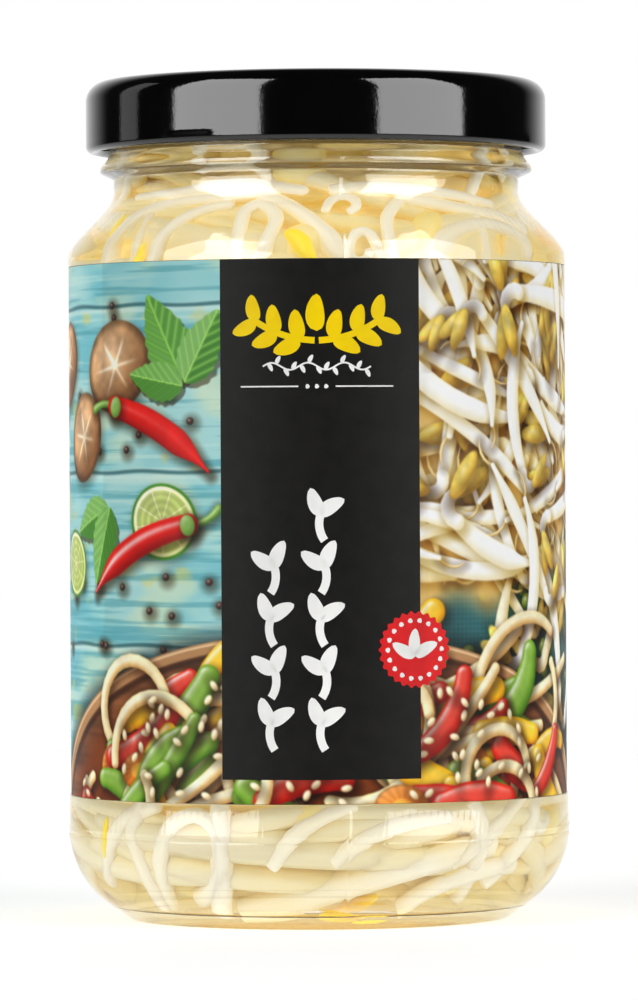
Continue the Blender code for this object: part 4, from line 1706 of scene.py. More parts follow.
    def paint_kitchen(self) -> None:
        """The left side: mushrooms, lime, basil and chillies, and more of the same round the back."""
        for spot in self.scatter(Spot(-104.0, 20.0), Spot(-14.0, 74.0), 66):
            self.dome(spot, (0.6, 0.55), 0.0, Larder.pepper)
        for across, up, size, turn_deg in (
            (-33.0, 61.5, 7.6, 20.0), (-42.5, 51.5, 6.6, 65.0), (-52.0, 62.0, 6.8, 40.0), (-84.0, 30.0, 7.0, 10.0),
        ):
            self.put_mushroom(Spot(across, up), size, turn_deg)
        for across, up, size in ((-23.5, 39.5, 6.0), (-47.0, 33.5, 5.2), (-72.0, 56.0, 5.6), (-96.0, 60.0, 5.4)):
            self.put_lime(Spot(across, up), size, 15.0 + across)
        for across, up, turn_deg, length in (
            (-19.5, 59.0, 118.0, 14.0), (-19.5, 59.0, 62.0, 11.5), (-19.8, 58.5, 170.0, 10.0),
            (-35.0, 41.5, 200.0, 10.5), (-34.5, 41.5, 250.0, 11.5), (-66.0, 38.0, 120.0, 11.0),
            (-66.0, 38.0, 60.0, 10.0), (-92.0, 44.0, 80.0, 12.0), (-92.0, 44.0, 150.0, 10.0),
        ):
            self.leaf(Spot(across, up), length, turn_deg, Larder.leaf)
        self.put_chilli(Spot(-15.8, 46.5), 20.0, 152.0, 34.0)
        self.put_chilli(Spot(-38.5, 29.5), 22.0, 26.0, -30.0)
        self.put_chilli(Spot(-78.0, 44.0), 20.0, 150.0, 30.0)

    def paint_harvest(self) -> None:
        """The right side: a spread of fresh sprouts and green beans on a teal cloth."""
        for spot in self.scatter(Spot(14.0, 2.0), Spot(104.0, 74.0), 250):
            self.dome(spot, (1.2, 1.0), float(self.draw.uniform(0.0, 180.0)), Larder.mung)
        across, up = self.spots[..., 0], self.spots[..., 1]
        edge = 27.0 + 0.3 * (across - 30.0) + 2.0 * np.sin(across * 0.4)
        inside = ease(edge, edge + 6.0, up) * (1.0 - ease(66.0, 78.0, across)) * ease(2.0, 3.0, across)
        self.wash(shade_rgb(226, 188, 108), inside)
        self.sprout_heap(Spot(17.0, 30.0), Spot(76.0, 84.0), 180, lambda spot: 31.0 + 0.3 * (spot.across - 30.0))
        self.sprout_heap(Spot(84.0, 20.0), Spot(98.0, 50.0), 16, lambda spot: 0.0)


@dataclass(frozen=True)
class Sheet:
    """A printed sheet's place round the label, in millimetres, and how finely it is divided."""

    name: str
    across: Point
    up: Point
    columns: int
    rows: tuple[int, ...]


@dataclass
class WrapLabel:
    """The paper label: a black band with printed pictures and plain ornaments on it."""

    inner: float = 35.68 * MM
    paper: float = 35.895 * MM
    print_radius: float = 35.91 * MM
    ornament_radius: float = 35.92 * MM
    ink_layer: float = 0.02 * MM
    low: float = 18.05 * MM
    seam_gap_deg: float = 14.0
    columns: int = 240
    panel: tuple[float, float] = (-13.85, 14.7)
    panel_foot: float = 3.45
    near_side: float = 36.0
    side: float = 56.2
    height: float = 76.14
    cell: float = 0.13

    def build(self) -> None:
        """Build the band, its pictures and its ornaments."""
        half = math.pi * self.print_radius * (360.0 - self.seam_gap_deg) / 360.0 / MM
        whole = Sheet("label_paper", (-half, half), (0.0, self.height), self.columns, ())
        band = self.make_sheet(whole, self.inner, self.paper)
        self.bare_back(band)
        place(band, Body.JAR, Slot.PAPER, "label")
        art = LabelArt(half, self.height, self.cell, 11)
        art.paint()
        full = (0.05, self.height - 0.05)
        left, right = self.panel
        sheets = (
            Sheet("print_left", (-self.near_side, left), full, 168, (19, 30)),
            Sheet("print_right", (right, self.near_side), full, 168, (19, 30)),
            Sheet("print_left_side", (-self.side, -self.near_side), full, 120, (20, 22)),
            Sheet("print_right_side", (self.near_side, self.side), full, 120, (20, 22)),
            Sheet("print_foot", self.panel, (0.05, self.panel_foot), 210, (26,)),
            Sheet("print_left_back", (-half + 0.1, -self.side), full, 200, (15, 20)),
            Sheet("print_right_back", (self.side, half - 0.1), full, 200, (15, 20)),
        )
        finish = PrintedPaper("picture_print", attribute="ink").build()
        for sheet in sheets:
            self.make_print(sheet, art, finish)
        self.make_ornaments()

    def bare_back(self, band: bpy.types.Object) -> None:
        """Print the paper's face black, and leave its back and edges white."""
        white = PrintedPaper("bare_paper", light=(0.84, 0.83, 0.8), dark=(0.78, 0.77, 0.73), roughness=0.7)
        dress(band, PrintedPaper("plain_black_print").build(), white.build())
        for face in band.data.polygons:
            face.material_index = 0 if face.normal.dot(outward(face).normalized()) > 0.5 else 1

    def angle(self, across: float) -> float:
        """The angle round the axis of a place on the label."""
        return math.radians(FRONT_DEG) + across * MM / self.print_radius

    def make_sheet(self, sheet: Sheet, inner: float, outer: float) -> bpy.types.Object:
        """A closed sheet wrapped round the jar, whose outer face alone is finely divided.

        Args:
            sheet: Its name, its place and how finely it is divided.
            inner: Its inner radius.
            outer: Its outer radius.

        Returns:
            The sheet, shaded smooth.
        """
        low, high = (self.low + up * MM for up in sheet.up)
        start, end = (self.angle(across) for across in sheet.across)
        inwards = on_ring(inner - outer, end, 0.0)
        upwards = Vector((0.0, 0.0, high - low))
        piece = drawn_line(sheet.name, on_ring(outer, end, low), (upwards, inwards, -upwards, -inwards))
        weld()
        spin_all(sheet.columns, end - start)
        bpy.ops.mesh.select_all(action="SELECT")
        bpy.ops.mesh.fill_holes(sides=0)
        bpy.ops.mesh.select_all(action="SELECT")
        bpy.ops.mesh.normals_make_consistent(inside=False)
        for share in sheet.rows:
            select_uprights(piece, outer)
            bpy.ops.mesh.subdivide(number_cuts=share - 1)
        bpy.ops.mesh.select_mode(type="VERT")
        smooth(piece, 40.0)
        return piece

    def make_print(self, sheet: Sheet, art: LabelArt, finish: bpy.types.Material) -> None:
        """Build a printed sheet and lay its part of the picture on it.

        Args:
            sheet: The sheet.
            art: The whole picture.
            finish: The material that shows the painted attribute.
        """
        piece = self.make_sheet(sheet, self.paper, self.print_radius)
        count = len(piece.data.vertices)
        places = np.empty(count * 3)
        piece.data.vertices.foreach_get("co", places)
        places = places.reshape(-1, 3)
        angle = np.arctan2(places[:, 1], places[:, 0]) - math.radians(FRONT_DEG)
        angle = (angle + math.pi) % math.tau - math.pi
        colours = art.sample(angle * self.print_radius / MM, (places[:, 2] - self.low) / MM)
        ink = np.ones((count, 4), dtype=np.float32)
        ink[:, :3] = display_to_linear(np.clip(colours, 0.0, 1.0))
        layer = piece.data.color_attributes.new("ink", "BYTE_COLOR", "POINT")
        layer.data.foreach_set("color", ink.ravel())
        dress(piece, finish)
        place(piece, Body.JAR, Slot.PAPER)

    def wrap_shape(
        self, columns: int, rows: int, where: Callable[[float, float], Point], lift: float = 0.0
    ) -> bpy.types.Object:
        """A flat shape on the label, with the thickness of a layer of ink.

        Args:
            columns: How many columns its grid has.
            rows: How many rows.
            where: The place on the label, from a place along and across the grid, each from -1 to 1.
            lift: How much further out than other ornaments it lies.

        Returns:
            The shape.
        """
        clear_selection()
        bpy.ops.mesh.primitive_grid_add(x_subdivisions=columns, y_subdivisions=rows, size=2.0)
        piece = bpy.context.object
        for vertex in piece.data.vertices:
            across, up = where(vertex.co.x, vertex.co.y)
            vertex.co = on_ring(self.ornament_radius + lift, self.angle(across), self.low + up * MM)
        activate(piece)
        bpy.ops.object.mode_set(mode="EDIT")
        close_edit()
        face = piece.data.polygons[0]
        if face.normal.dot(outward(face)) < 0.0:
            bpy.ops.object.mode_set(mode="EDIT")
            bpy.ops.mesh.flip_normals()
            bpy.ops.object.mode_set(mode="OBJECT")
        modify(piece, "SOLIDIFY", thickness=self.ink_layer, offset=-1.0)
        return piece

    def make_petal(self, centre: Spot, size: Point, turn_deg: float, lift: float = 0.0) -> bpy.types.Object:
        """A flat bean-shaped petal, wrapped on the label.

        Args:
            centre: Its middle.
            size: Half its length and half its width.
            turn_deg: How far its length is turned from level.
            lift: How much further out than other ornaments it lies.

        Returns:
            The petal.
        """
        turn_by = math.radians(turn_deg)

        def where(along: float, across: float) -> Point:
            full = math.sqrt(max(0.0, 1.0 - along * along)) * (1.0 - 0.22 * along)
            x, y = along * size[0], across * full * size[1] + 0.18 * size[1] * (1.0 - along * along)
            place_across = centre.across + x * math.cos(turn_by) - y * math.sin(turn_by)
            return place_across, centre.up + x * math.sin(turn_by) + y * math.cos(turn_by)

        return self.wrap_shape(14, 6, where, lift)

    def make_ribbon(self, line: np.ndarray, half_width: float) -> bpy.types.Object:
        """A flat line of ink, wrapped on the label.

        Args:
            line: Its middle line.
            half_width: Half its width.

        Returns:
            The line.
        """
        last = len(line) - 1

        def where(along: float, across: float) -> Point:
            index = round((along + 1.0) / 2.0 * last)
            heading = line[min(index + 1, last)] - line[max(index - 1, 0)]
            heading = heading / np.linalg.norm(heading)
            return tuple(line[index] + np.array((-heading[1], heading[0])) * across * half_width)

        return self.wrap_shape(last, 2, where)

    def make_sprig(self, foot: Spot, height: float, lean: float, thick: float) -> list[bpy.types.Object]:
        """A plain drawn sprout: a bowed stem and two bean halves.

        Args:
            foot: The middle of its stem's foot.
            height: Its stem's length.
            lean: How far it bows, in degrees; negative bows the other way.
            thick: Half the stem's width.

        Returns:
            Its shapes.
        """
        line = bowed(foot, height, 90.0 - lean * 0.15, lean, 18)
        line[:, 0] += foot.across - (line[0, 0] + line[-1, 0]) / 2.0
        ahead = heading_deg(line)
        shapes = [self.make_ribbon(line, thick)]
        for side in (-40.0, 40.0):
            middle = Spot(*line[-1]).beyond(ahead + side, thick * 3.1)
            shapes.append(self.make_petal(middle, (thick * 3.6, thick * 1.75), ahead + side))
        return shapes

    def make_disc(self, centre: Spot, radius: float, scallops: int) -> bpy.types.Object:
        """A flat round seal with a scalloped edge, wrapped on the label.

        Args:
            centre: Its middle.
            radius: Its radius.
            scallops: How many scallops its edge has.

        Returns:
            The seal.
        """

        def where(x: float, y: float) -> Point:
            flat = Vector((x * math.sqrt(1.0 - y * y / 2.0), y * math.sqrt(1.0 - x * x / 2.0)))
            ripple = 1.0 + 0.04 * flat.length**8 * math.cos(scallops * math.atan2(flat.y, flat.x))
            flat *= radius * ripple
            return centre.across + flat.x, centre.up + flat.y

        return self.wrap_shape(44, 44, where)

    def make_ornaments(self) -> None:
        """Put the yellow emblem, the white sprigs and rules, and the red seal on the label."""
        middle = Spot(13.9, 21.5)
        seal = [self.make_disc(middle, 5.2, 26)]
        on_seal = [
            self.make_petal(middle.beyond(way, 1.9).beyond(-90.0, 0.9), (1.95, 0.85), way, 0.01 * MM)
            for way in (28.0, 90.0, 152.0)
        ]
        on_seal += [
            self.make_petal(middle.beyond(way, 4.1), (0.34, 0.34), way, 0.01 * MM) for way in range(0, 360, 20)
        ]
        inks = (
            ("emblem_yellow", self.make_emblem(), (0.98, 0.7, 0.0), (0.93, 0.64, 0.0)),
            ("ornament_white", self.make_white() + on_seal, (0.92, 0.92, 0.9), (0.87, 0.87, 0.85)),
            ("seal_red", seal, (0.78, 0.012, 0.015), (0.66, 0.01, 0.012)),
        )
        for name, shapes, light, dark in inks:
            piece = join(shapes, name)
            smooth(piece, 40.0)
            dress(piece, PrintedPaper(f"{name}_ink", light=light, dark=dark).build())
            place(piece, Body.JAR, Slot.PAPER)

    def make_emblem(self) -> list[bpy.types.Object]:
        """The yellow emblem: a level spray of bean halves on two bowed stems."""
        shapes = []
        for way in (-1.0, 1.0):
            heading = 18.0 if way > 0.0 else 162.0
            line = bowed(Spot(0.3 * way, 64.7), 8.8, heading, 30.0 * way, 14)
            shapes.append(self.make_ribbon(line, 0.45))
            for reach, size in ((3, 2.1), (8, 2.0), (13, 1.9)):
                for lift_deg in (62.0, -44.0):
                    ahead = heading + lift_deg * way
                    middle = Spot(*line[reach]).beyond(ahead, size)
                    shapes.append(self.make_petal(middle, (size, size * 0.52), ahead))
        shapes.append(self.make_petal(Spot(0.0, 68.6), (2.6, 1.3), 90.0))
        return shapes

    def make_white(self) -> list[bpy.types.Object]:
        """The white ornaments: a vine, two rules with dots between, and two columns of sprigs."""
        steps = range(41)
        vine = np.array([(-7.6 + 15.2 * step / 40, 61.1 + 0.5 * math.sin(step * 0.47)) for step in steps])
        shapes = [self.make_ribbon(vine, 0.12)]
        for step in range(2, 40, 3):
            way = 62.0 if step % 2 else -62.0
            shapes.append(self.make_petal(Spot(*vine[step]).beyond(way, 0.62), (0.62, 0.3), way))
        for start, end in ((-10.8, -2.6), (2.6, 10.8)):
            line = np.array([(start + (end - start) * step / 16, 58.3) for step in range(17)])
            shapes.append(self.make_ribbon(line, 0.1))
        for across in (-1.3, 0.0, 1.3):
            shapes.append(self.make_petal(Spot(across, 58.25), (0.3, 0.3), 0.0))
        for across, count in ((-6.4, 4), (0.7, 5)):
            for index in range(count):
                lean = 52.0 if index % 2 else -52.0
                shapes += self.make_sprig(Spot(across, 7.6 + 7.3 * index), 3.9, lean, 0.58)
        return shapes


@dataclass(frozen=True)
class Seen:
    """Where the photograph shows things in the jar, and what lies there behind the curved glass.

    Places are in its pixels, and the jar's axis stands at its middle.
    """

    glass: GlassJar
    middle: Point = (317.0, 485.0)
    pixel: float = 0.145 * MM
    camera_height: float = 62.6 * MM
    distance: float = 0.905
    glass_index: float = 1.5
    brine_index: float = 1.34

    def place(self, spot: Point, depth: float) -> tuple[float, float]:
        """The angle and height of a thing at a depth inside the wall that is seen at a spot.

        Args:
            spot: The spot in the photograph.
            depth: How far inside the glass the thing lies.

        Returns:
            Its angle in radians and its height.
        """
        outer = self.glass.body_radius
        near = 1.0 - outer / self.distance
        height = self.camera_height + (self.middle[1] - spot[1]) * self.pixel * near
        wall = self.glass.wall(height)
        outer = min(outer, wall + (outer - self.glass.inside_radius))
        beam = (spot[0] - self.middle[0]) * self.pixel * near / outer
        beam = max(-0.94, min(0.94, beam)) * outer
        angle = math.asin(beam / outer)
        angle += math.asin(beam / (self.glass_index * wall)) - math.asin(beam / (self.glass_index * outer))
        inner = wall - depth
        angle += math.asin(beam / (self.brine_index * inner)) - math.asin(beam / (self.brine_index * wall))
        return math.radians(FRONT_DEG) + angle, height


@dataclass(frozen=True)
class Laid:
    """One thing that lies on the glass where the photograph shows it."""

    radius: float
    route: tuple[Point, ...]


IN_NECK = (
    Laid(1.15, ((235, 266), (238, 238), (243, 218), (258, 209), (271, 216), (275, 230), (264, 250), (252, 268))),
    Laid(1.45, ((258, 199), (276, 205), (296, 217), (324, 240), (352, 262))),
    Laid(1.6, ((98, 266), (112, 240), (132, 221), (168, 207), (214, 199), (262, 192))),
    Laid(1.15, ((146, 268), (156, 246), (178, 226), (204, 214), (232, 208))),
    Laid(0.75, ((384, 264), (377, 246), (366, 238), (354, 242), (350, 253), (357, 261), (368, 258), (371, 249))),
    Laid(0.8, ((326, 218), (331, 206), (343, 199), (356, 203), (358, 213), (349, 219))),
    Laid(1.0, ((398, 266), (391, 244), (391, 224), (404, 203))),
    Laid(1.6, ((398, 200), (432, 208), (474, 218), (512, 228), (540, 246))),
    Laid(1.4, ((430, 268), (446, 248), (476, 236), (512, 238), (538, 256))),
    Laid(1.2, ((130, 196), (176, 190), (226, 180), (270, 184), (310, 192))),
    Laid(1.3, ((330, 190), (372, 186), (420, 190), (466, 198), (506, 212))),
)
IN_HEEL = (
    Laid(1.95, ((238, 900), (286, 891), (352, 878), (428, 862), (500, 846))),
    Laid(1.5, ((470, 806), (480, 830), (478, 858), (462, 892))),
    Laid(1.7, ((217, 806), (218, 836), (216, 870), (219, 904))),
    Laid(1.3, ((160, 894), (154, 862), (168, 830), (192, 818), (212, 832), (218, 860), (206, 884), (182, 890))),
    Laid(1.3, ((268, 866), (292, 838), (322, 818), (356, 804))),
    Laid(1.5, ((96, 876), (104, 848), (124, 824), (156, 806))),
    Laid(1.5, ((536, 806), (532, 834), (514, 858), (486, 880))),
    Laid(1.3, ((330, 862), (366, 840), (404, 826), (452, 820))),
    Laid(1.4, ((140, 806), (128, 836), (136, 866), (160, 898))),
    Laid(1.3, ((394, 900), (430, 886), (476, 872), (520, 866))),
)
LEAVES = (
    Laid(1.15, ((284, 240), (296, 243), (308, 252), (316, 264))),
    Laid(0.8, ((116, 218), (108, 230), (102, 244))),
    Laid(0.8, ((142, 246), (134, 258), (128, 268))),
    Laid(1.0, ((316, 906), (340, 902), (362, 895), (378, 890))),
    Laid(0.55, ((101, 824), (98, 842), (97, 862))),
    Laid(0.5, ((350, 918), (368, 917), (386, 915))),
)


@dataclass(frozen=True)
class Tangle:
    """Where one tangle of sprouts lies, how many stems its solid has and what is added to them."""

    name: str
    span: Point
    ends: Point
    count: int
    curled: int
    laid: tuple[Laid, ...] = ()
    leaves: tuple[Laid, ...] = ()


@dataclass
class Sprouts:
    """All the sprouts: those of the solids, finer, and many more behind and between them."""

    glass: GlassJar
    seed: int = 63
    filler_seed: int = 7
    stem_radius: float = 2.0 * MM
    stem_lengths: Point = (44.0 * MM, 60.0 * MM)
    stem_bow: float = 4.0 * MM
    stem_sink: float = 0.9 * MM
    stem_points: int = 7
    fine_points: int = 24
    tail_radius: float = 0.6 * MM
    bean_half: tuple[float, float, float] = (3.8 * MM, 2.5 * MM, 2.2 * MM)
    bean_sink: float = 0.2 * MM
    bean_overlap: float = 0.6
    bean_tilt_deg: float = 35.0
    bean_every: int = 3
    wall_clearance: float = 0.45 * MM
    layers: int = 3
    layer_step: float = 2.6 * MM
    core_depth: float = 9.5 * MM
    golden_share: float = (math.sqrt(5.0) - 1.0) / 2.0

    def tangles(self) -> list[Tangle]:
        """The three tangles, lowest first."""
        return [
            Tangle("sprouts_low", (5.0 * MM, 32.0 * MM), (7.0 * MM, 29.0 * MM), 25, 8, IN_HEEL, LEAVES[3:]),
            Tangle("sprouts_middle", (32.3 * MM, 81.0 * MM), (35.0 * MM, 78.0 * MM), 19, 10),
            Tangle("sprouts_high", (81.3 * MM, 112.0 * MM), (84.0 * MM, 110.0 * MM), 25, 7, IN_NECK, LEAVES[:3]),
        ]

    def wall_reach(self, height: float, depth: float, half_width: float) -> float:
        """The radius that keeps a thing of this half width a depth inside the glass."""
        heights = (height - half_width, height, height + half_width)
        return min(self.glass.wall(level) for level in heights) - depth

    def route(self, index: int, tangle: Tangle, draw: random.Random) -> list[Vector]:
        """A bowed line along the wall, from a sprout's root tip to its head, as in the solids.

        Args:
            index: Which of the tangle's stems it is.
            tangle: The tangle.
            draw: The random draws that all tangles share.

        Returns:
            The route's points.
        """
        low, high = tangle.span
        ends = tangle.ends
        start = ends[0] + (ends[1] - ends[0]) * (index * self.golden_share % 1.0)
        finish = draw.uniform(*ends)
        length = draw.uniform(*self.stem_lengths)
        way = 1.0 if index % 2 else -1.0
        bow = draw.uniform(-self.stem_bow, self.stem_bow)
        sink = draw.uniform(0.0, self.stem_sink)
        margin = self.bean_half[1] + GAP
        angle = index * math.tau * (1.0 - self.golden_share)
        points = []
        for step in range(self.stem_points):
            share = step / (self.stem_points - 1)
            height = start + (finish - start) * share + bow * math.sin(math.pi * share)
            height = max(low + margin, min(high - margin, height))
            reach = self.wall_reach(height, self.wall_clearance + self.stem_radius + sink, self.stem_radius)
            points.append(on_ring(reach, angle, height))
            angle += way * length / (self.stem_points - 1) / reach
        return points

    def fine(self, points: list[Vector]) -> list[Vector]:
        """A smooth line of more points through a route's own, which rounds its corners.

        Args:
            points: The route's points.

        Returns:
            The finer line.
        """
        line = []
        last = len(points) - 1
        for step in range(self.fine_points):
            place_on = last * step / (self.fine_points - 1)
            index = min(int(place_on), last - 1)
            share = place_on - index
            before = points[max(index - 1, 0)]
            here, there = points[index], points[index + 1]
            after = points[min(index + 2, last)]
            pull = (there - before) * share + (2.0 * before - 5.0 * here + 4.0 * there - after) * share**2
            line.append(here + 0.5 * (pull + (3.0 * here - before - 3.0 * there + after) * share**3))
        return line

    def radii(self, widest: float, draw: random.Random, tip: float = 0.0) -> list[float]:
        """A stem's radius at each fine point: a thin root tail, then a full stem, a little lumpy.

        Args:
            widest: The full stem's radius.
            draw: Random draws.
            tip: The tail's radius, or 0 for a root's.

        Returns:
            The radii.
        """
        tail = 0.16
        wave = draw.uniform(0.0, math.tau)
        row = []
        for step in range(self.fine_points):
            share = step / (self.fine_points - 1)
            swell = min(1.0, (share + 0.03) / (tail + 0.03))
            thin = tip or self.tail_radius
            full = thin + (widest - thin) * swell * swell * (3.0 - 2.0 * swell)
            lump = 1.0 - 0.05 * (1.0 + math.sin(wave + share * 9.0))
            end = 1.0 if share < 0.95 else math.sqrt(max(0.08, 1.0 - ((share - 0.95) / 0.05) ** 2))
            row.append(full * lump * end)
        return row

    def filler(self, tangle: Tangle, layer: int, count: int, draw: random.Random) -> list[list[Vector]]:
        """Routes of the sprouts behind, each layer deeper in the jar.

        Args:
            tangle: The tangle that they lie behind.
            layer: How deep they lie, from 1.
            count: How many there are.
            draw: Random draws.

        Returns:
            Their routes.
        """
        routes = []
        for index in range(count):
            angle = draw.uniform(0.0, math.tau)
            start = draw.uniform(*tangle.ends)
            climb = draw.uniform(-0.75, 0.75)
            length = draw.uniform(36.0, 58.0) * MM
            way = draw.choice((-1.0, 1.0))
            bow = draw.uniform(-5.0, 5.0) * MM
            drift = draw.uniform(-1.0, 1.0) * MM
            points = []
            for step in range(self.stem_points):
                share = step / (self.stem_points - 1)
                height = start + climb * length * (share - 0.5) + bow * math.sin(math.pi * share)
                height = max(tangle.span[0] + 2.5 * MM, min(tangle.span[1] - 2.5 * MM, height))
                depth = self.wall_clearance + self.stem_radius + layer * self.layer_step
                depth += drift * math.sin(math.tau * share)
                reach = self.wall_reach(height, depth, self.stem_radius)
                points.append(on_ring(reach, angle, height))
                angle += way * length / (self.stem_points - 1) / reach
            routes.append(points)
        return routes

    def laid(self, things: Iterable[Laid], clearance: float) -> list[list[Vector]]:
        """The lines of things that lie on the glass where the photograph shows them.

        Args:
            things: The things.
            clearance: How far they keep from the glass.

        Returns:
            Their lines.
        """
        seen = Seen(self.glass)
        lines = []
        for thing in things:
            depth = clearance + thing.radius * MM
            points = []
            for spot in thing.route:
                angle, height = seen.place(spot, depth)
                points.append(on_ring(self.wall_reach(height, depth, thing.radius * MM), angle, height))
            lines.append(self.fine(points))
        return lines

    def curled(self, tangle: Tangle, count: int, draw: random.Random) -> list[list[Vector]]:
        """Lines of thinner sprouts that lie on the glass, bowed or hooked like a walking stick.

        Args:
            tangle: The tangle that they lie among.
            count: How many there are.
            draw: Random draws.

        Returns:
            Their lines.
        """
        lines = []
        for index in range(count):
            angle = (index + draw.uniform(-0.3, 0.3)) * math.tau / count
            height = draw.uniform(*tangle.ends)
            heading = draw.uniform(0.0, math.tau)
            bow = draw.uniform(-1.3, 1.3)
            hook = draw.choice((0.0, 1.0, -1.0)) * draw.uniform(2.4, 4.0)
            step = draw.uniform(20.0, 34.0) * MM / (self.fine_points - 1)
            depth = draw.uniform(1.5, 2.2) * MM
            line = []
            for number in range(self.fine_points):
                share = number / (self.fine_points - 1)
                height = max(tangle.span[0] + 1.8 * MM, min(tangle.span[1] - 1.8 * MM, height))
                reach = self.wall_reach(height, depth, 1.2 * MM)
                line.append(on_ring(reach, angle, height))
                heading += (bow + (hook / 0.27 if share > 0.73 else 0.0)) / self.fine_points
                height += math.sin(heading) * step
                angle += math.cos(heading) * step / reach
            lines.append(line)
        return lines

    def leaf_radii(self, widest: float) -> list[float]:
        """A slim bean half's radius at each fine point, pointed at both ends."""
        last = self.fine_points - 1
        return [widest * (0.08 + 0.92 * math.sin(math.pi * step / last) ** 0.7) for step in range(last + 1)]

    def make_core(self, tangle: Tangle) -> bpy.types.Object:
        """The matted middle that the deepest sprouts lie on.

        Args:
            tangle: The tangle.

        Returns:
            The ring.
        """
        low, high = tangle.span
        profile = [(20.3 * MM, high)]
        for step in range(13):
            height = high + (low - high) * step / 12
            profile.append((self.wall_reach(height, self.core_depth, 0.0), height))
        profile += [(20.3 * MM, low), (20.3 * MM, high)]
        return turn(f"{tangle.name}_mat", profile, 72)

    def make_bean(self) -> bpy.types.Object:
        """One pair of bean halves, a little open, at the origin with its length along X.

        Returns:
            The pair, to be copied.
        """
        halves = []
        for side in (-1.0, 1.0):
            clear_selection()
            bpy.ops.mesh.primitive_uv_sphere_add(segments=12, ring_count=8, radius=1.0)
            half = bpy.context.object
            bpy.ops.object.mode_set(mode="EDIT")
            bpy.ops.mesh.select_all(action="SELECT")
            bpy.ops.mesh.bisect(
                plane_co=(0.0, 0.0, 0.0), plane_no=(0.0, 0.0, side), use_fill=True, clear_inner=True
            )
            bpy.ops.mesh.select_all(action="SELECT")
            bpy.ops.transform.resize(value=self.bean_half, center_override=(0.0, 0.0, 0.0))
            bpy.ops.transform.rotate(
                value=side * math.radians(8.0), orient_axis="Y", center_override=(-self.bean_half[0], 0.0, 0.0)
            )
            bpy.ops.mesh.normals_make_consistent(inside=False)
            bpy.ops.object.mode_set(mode="OBJECT")
            halves.append(half)
        return join(halves, "bean_pattern")

    def bean_place(self, points: list[Vector]) -> Matrix:
        """Where the bean sits at the head of a stem, as in the solids.

        Args:
            points: The stem's route.

        Returns:
            The bean's matrix.
        """
        head = points[-1]
        along = (points[-1] - points[-2]).normalized()
        outward = Vector((head.x, head.y, 0.0)).normalized()
        side = outward.cross(along).normalized()
        upright = along.cross(side)
        lean = Matrix.Rotation(math.radians(self.bean_tilt_deg), 3, upright)
        axes = Matrix((lean @ along, lean @ side, upright)).transposed().to_4x4()
        inward = outward * (self.bean_half[2] - self.stem_radius + self.bean_sink)
        back = along * self.bean_half[0] * self.bean_overlap
        return Matrix.Translation(head - inward - back) @ axes

    def copy_bean(self, pattern: bpy.types.Object, matrix: Matrix) -> bpy.types.Object:
        """A copy of the bean with its own mesh, put in its place."""
        bean = bpy.data.objects.new("bean", pattern.data.copy())
        bean.data.transform(matrix)
        bpy.context.scene.collection.objects.link(bean)
        return bean

    def build(self) -> None:
        """Build each tangle's finer piece."""
        # Painted light shared by the finishes: the golden depth shade and the golden emission deep in the jar;
        # each finish below has its own painted emission colour.
        deep, painted_deep_glow = (0.95, 0.82, 0.47), (0.22, 0.185, 0.055)
        finishes = tuple(
            SproutFlesh(name, light, dark, deep, painted_glow, painted_deep_glow).build()
            for name, light, dark, painted_glow in (
                ("sprout_flesh", (0.93, 0.87, 0.75), (0.9, 0.82, 0.64), (0.21, 0.185, 0.14)),
                # A darker, more golden copy of the sprout flesh for the matted stems and middle: painted shade.
                ("deep_shaded_flesh", (0.87, 0.8, 0.6), (0.85, 0.75, 0.5), (0.18, 0.155, 0.085)),
                ("bean_flesh", (0.93, 0.8, 0.42), (0.92, 0.74, 0.24), (0.22, 0.17, 0.06)),
                ("bean_leaf", (0.98, 0.76, 0.012), (0.95, 0.68, 0.012), (0.36, 0.26, 0.0)),
            )
        )
        draw = random.Random(self.seed)
        extra = random.Random(self.filler_seed)
        pattern = self.make_bean()
        for tangle in self.tangles():
            self.build_tangle(tangle, pattern, finishes, draw, extra)
        bpy.data.objects.remove(pattern, do_unlink=True)

    def build_tangle(
        self,
        tangle: Tangle,
        pattern: bpy.types.Object,
        finishes: tuple[bpy.types.Material, ...],
        draw: random.Random,
        extra: random.Random,
    ) -> bpy.types.Object:
        """Build one tangle: its stems, the sprouts behind, its beans and its matted middle.

        Args:
            tangle: The tangle.
            pattern: The bean to copy.
            finishes: The materials of near stems, of the matted stems in a darker, more golden copy of the flesh
                as painted shade, of beans and of bright leaves.
            draw: The random draws that the solids use.
            extra: The draws for what is added.

        Returns:
            The finished piece.
        """
        routes = [self.route(index, tangle, draw) for index in range(tangle.count)]
        beans = [self.copy_bean(pattern, self.bean_place(points)) for points in routes[:: self.bean_every]]
        behind = []
        for layer in range(1, self.layers + 1):
            behind += self.filler(tangle, layer, tangle.count + 6, extra)
        lines = [self.fine(points) for points in routes + behind]
        widths = [self.radii(self.stem_radius, extra) for _ in routes]
        widths += [self.radii(extra.uniform(1.4, 2.0) * MM, extra) for _ in behind]
        curled = self.curled(tangle, tangle.curled, extra)
        near = [self.radii(extra.uniform(0.9, 1.3) * MM, extra) for _ in curled]
        near += [self.radii(thing.radius * MM, extra, 0.8 * thing.radius * MM) for thing in tangle.laid]
        parts = [
            (rod(f"{tangle.name}_stems", curled + self.laid(tangle.laid, 0.15 * MM), near, 2), 0),
            # The matted stems and the middle ring take the darker painted-shade copy of the flesh.
            (rod(f"{tangle.name}_matted", lines, widths, 2), 1),
            (self.make_core(tangle), 1),
            (join(beans, "beans"), 2),
        ]
        if tangle.leaves:
            blades = [self.leaf_radii(thing.radius * MM) for thing in tangle.leaves]
            parts.append((rod(f"{tangle.name}_leaves", self.laid(tangle.leaves, 0.1 * MM), blades, 2), 3))
        for part, finish in parts:
            dress(part, finishes[finish])
        piece = join([part for part, _ in parts], f"{tangle.name}_fine")
        smooth(piece, 60.0)
        place(piece, Body.JAR, Slot.FLESH, tangle.name)
        return piece


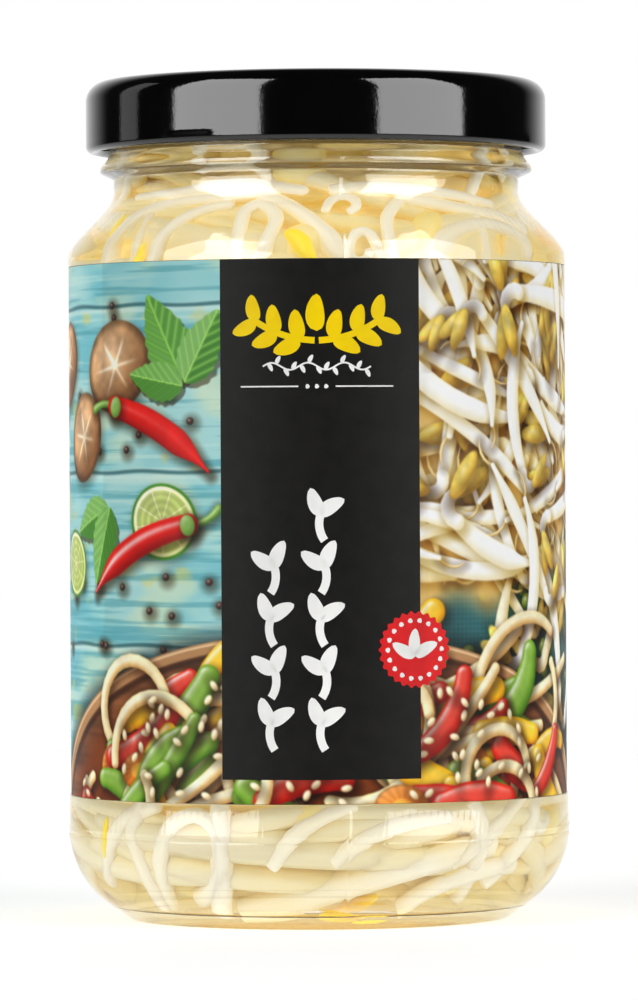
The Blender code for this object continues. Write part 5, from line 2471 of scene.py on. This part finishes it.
def main() -> None:
    """Build the studio, the jar and all that is in it and on it."""
    logging.basicConfig(level=logging.INFO, format="%(name)s: %(message)s")
    Effects.build()
    Studio().build()
    glass = GlassJar()
    glass.build()
    TwistLid().build()
    Liner().build()
    Brine(glass).build()
    Sprouts(glass).build()
    WrapLabel().build()


if __name__ == "__main__":
    main()
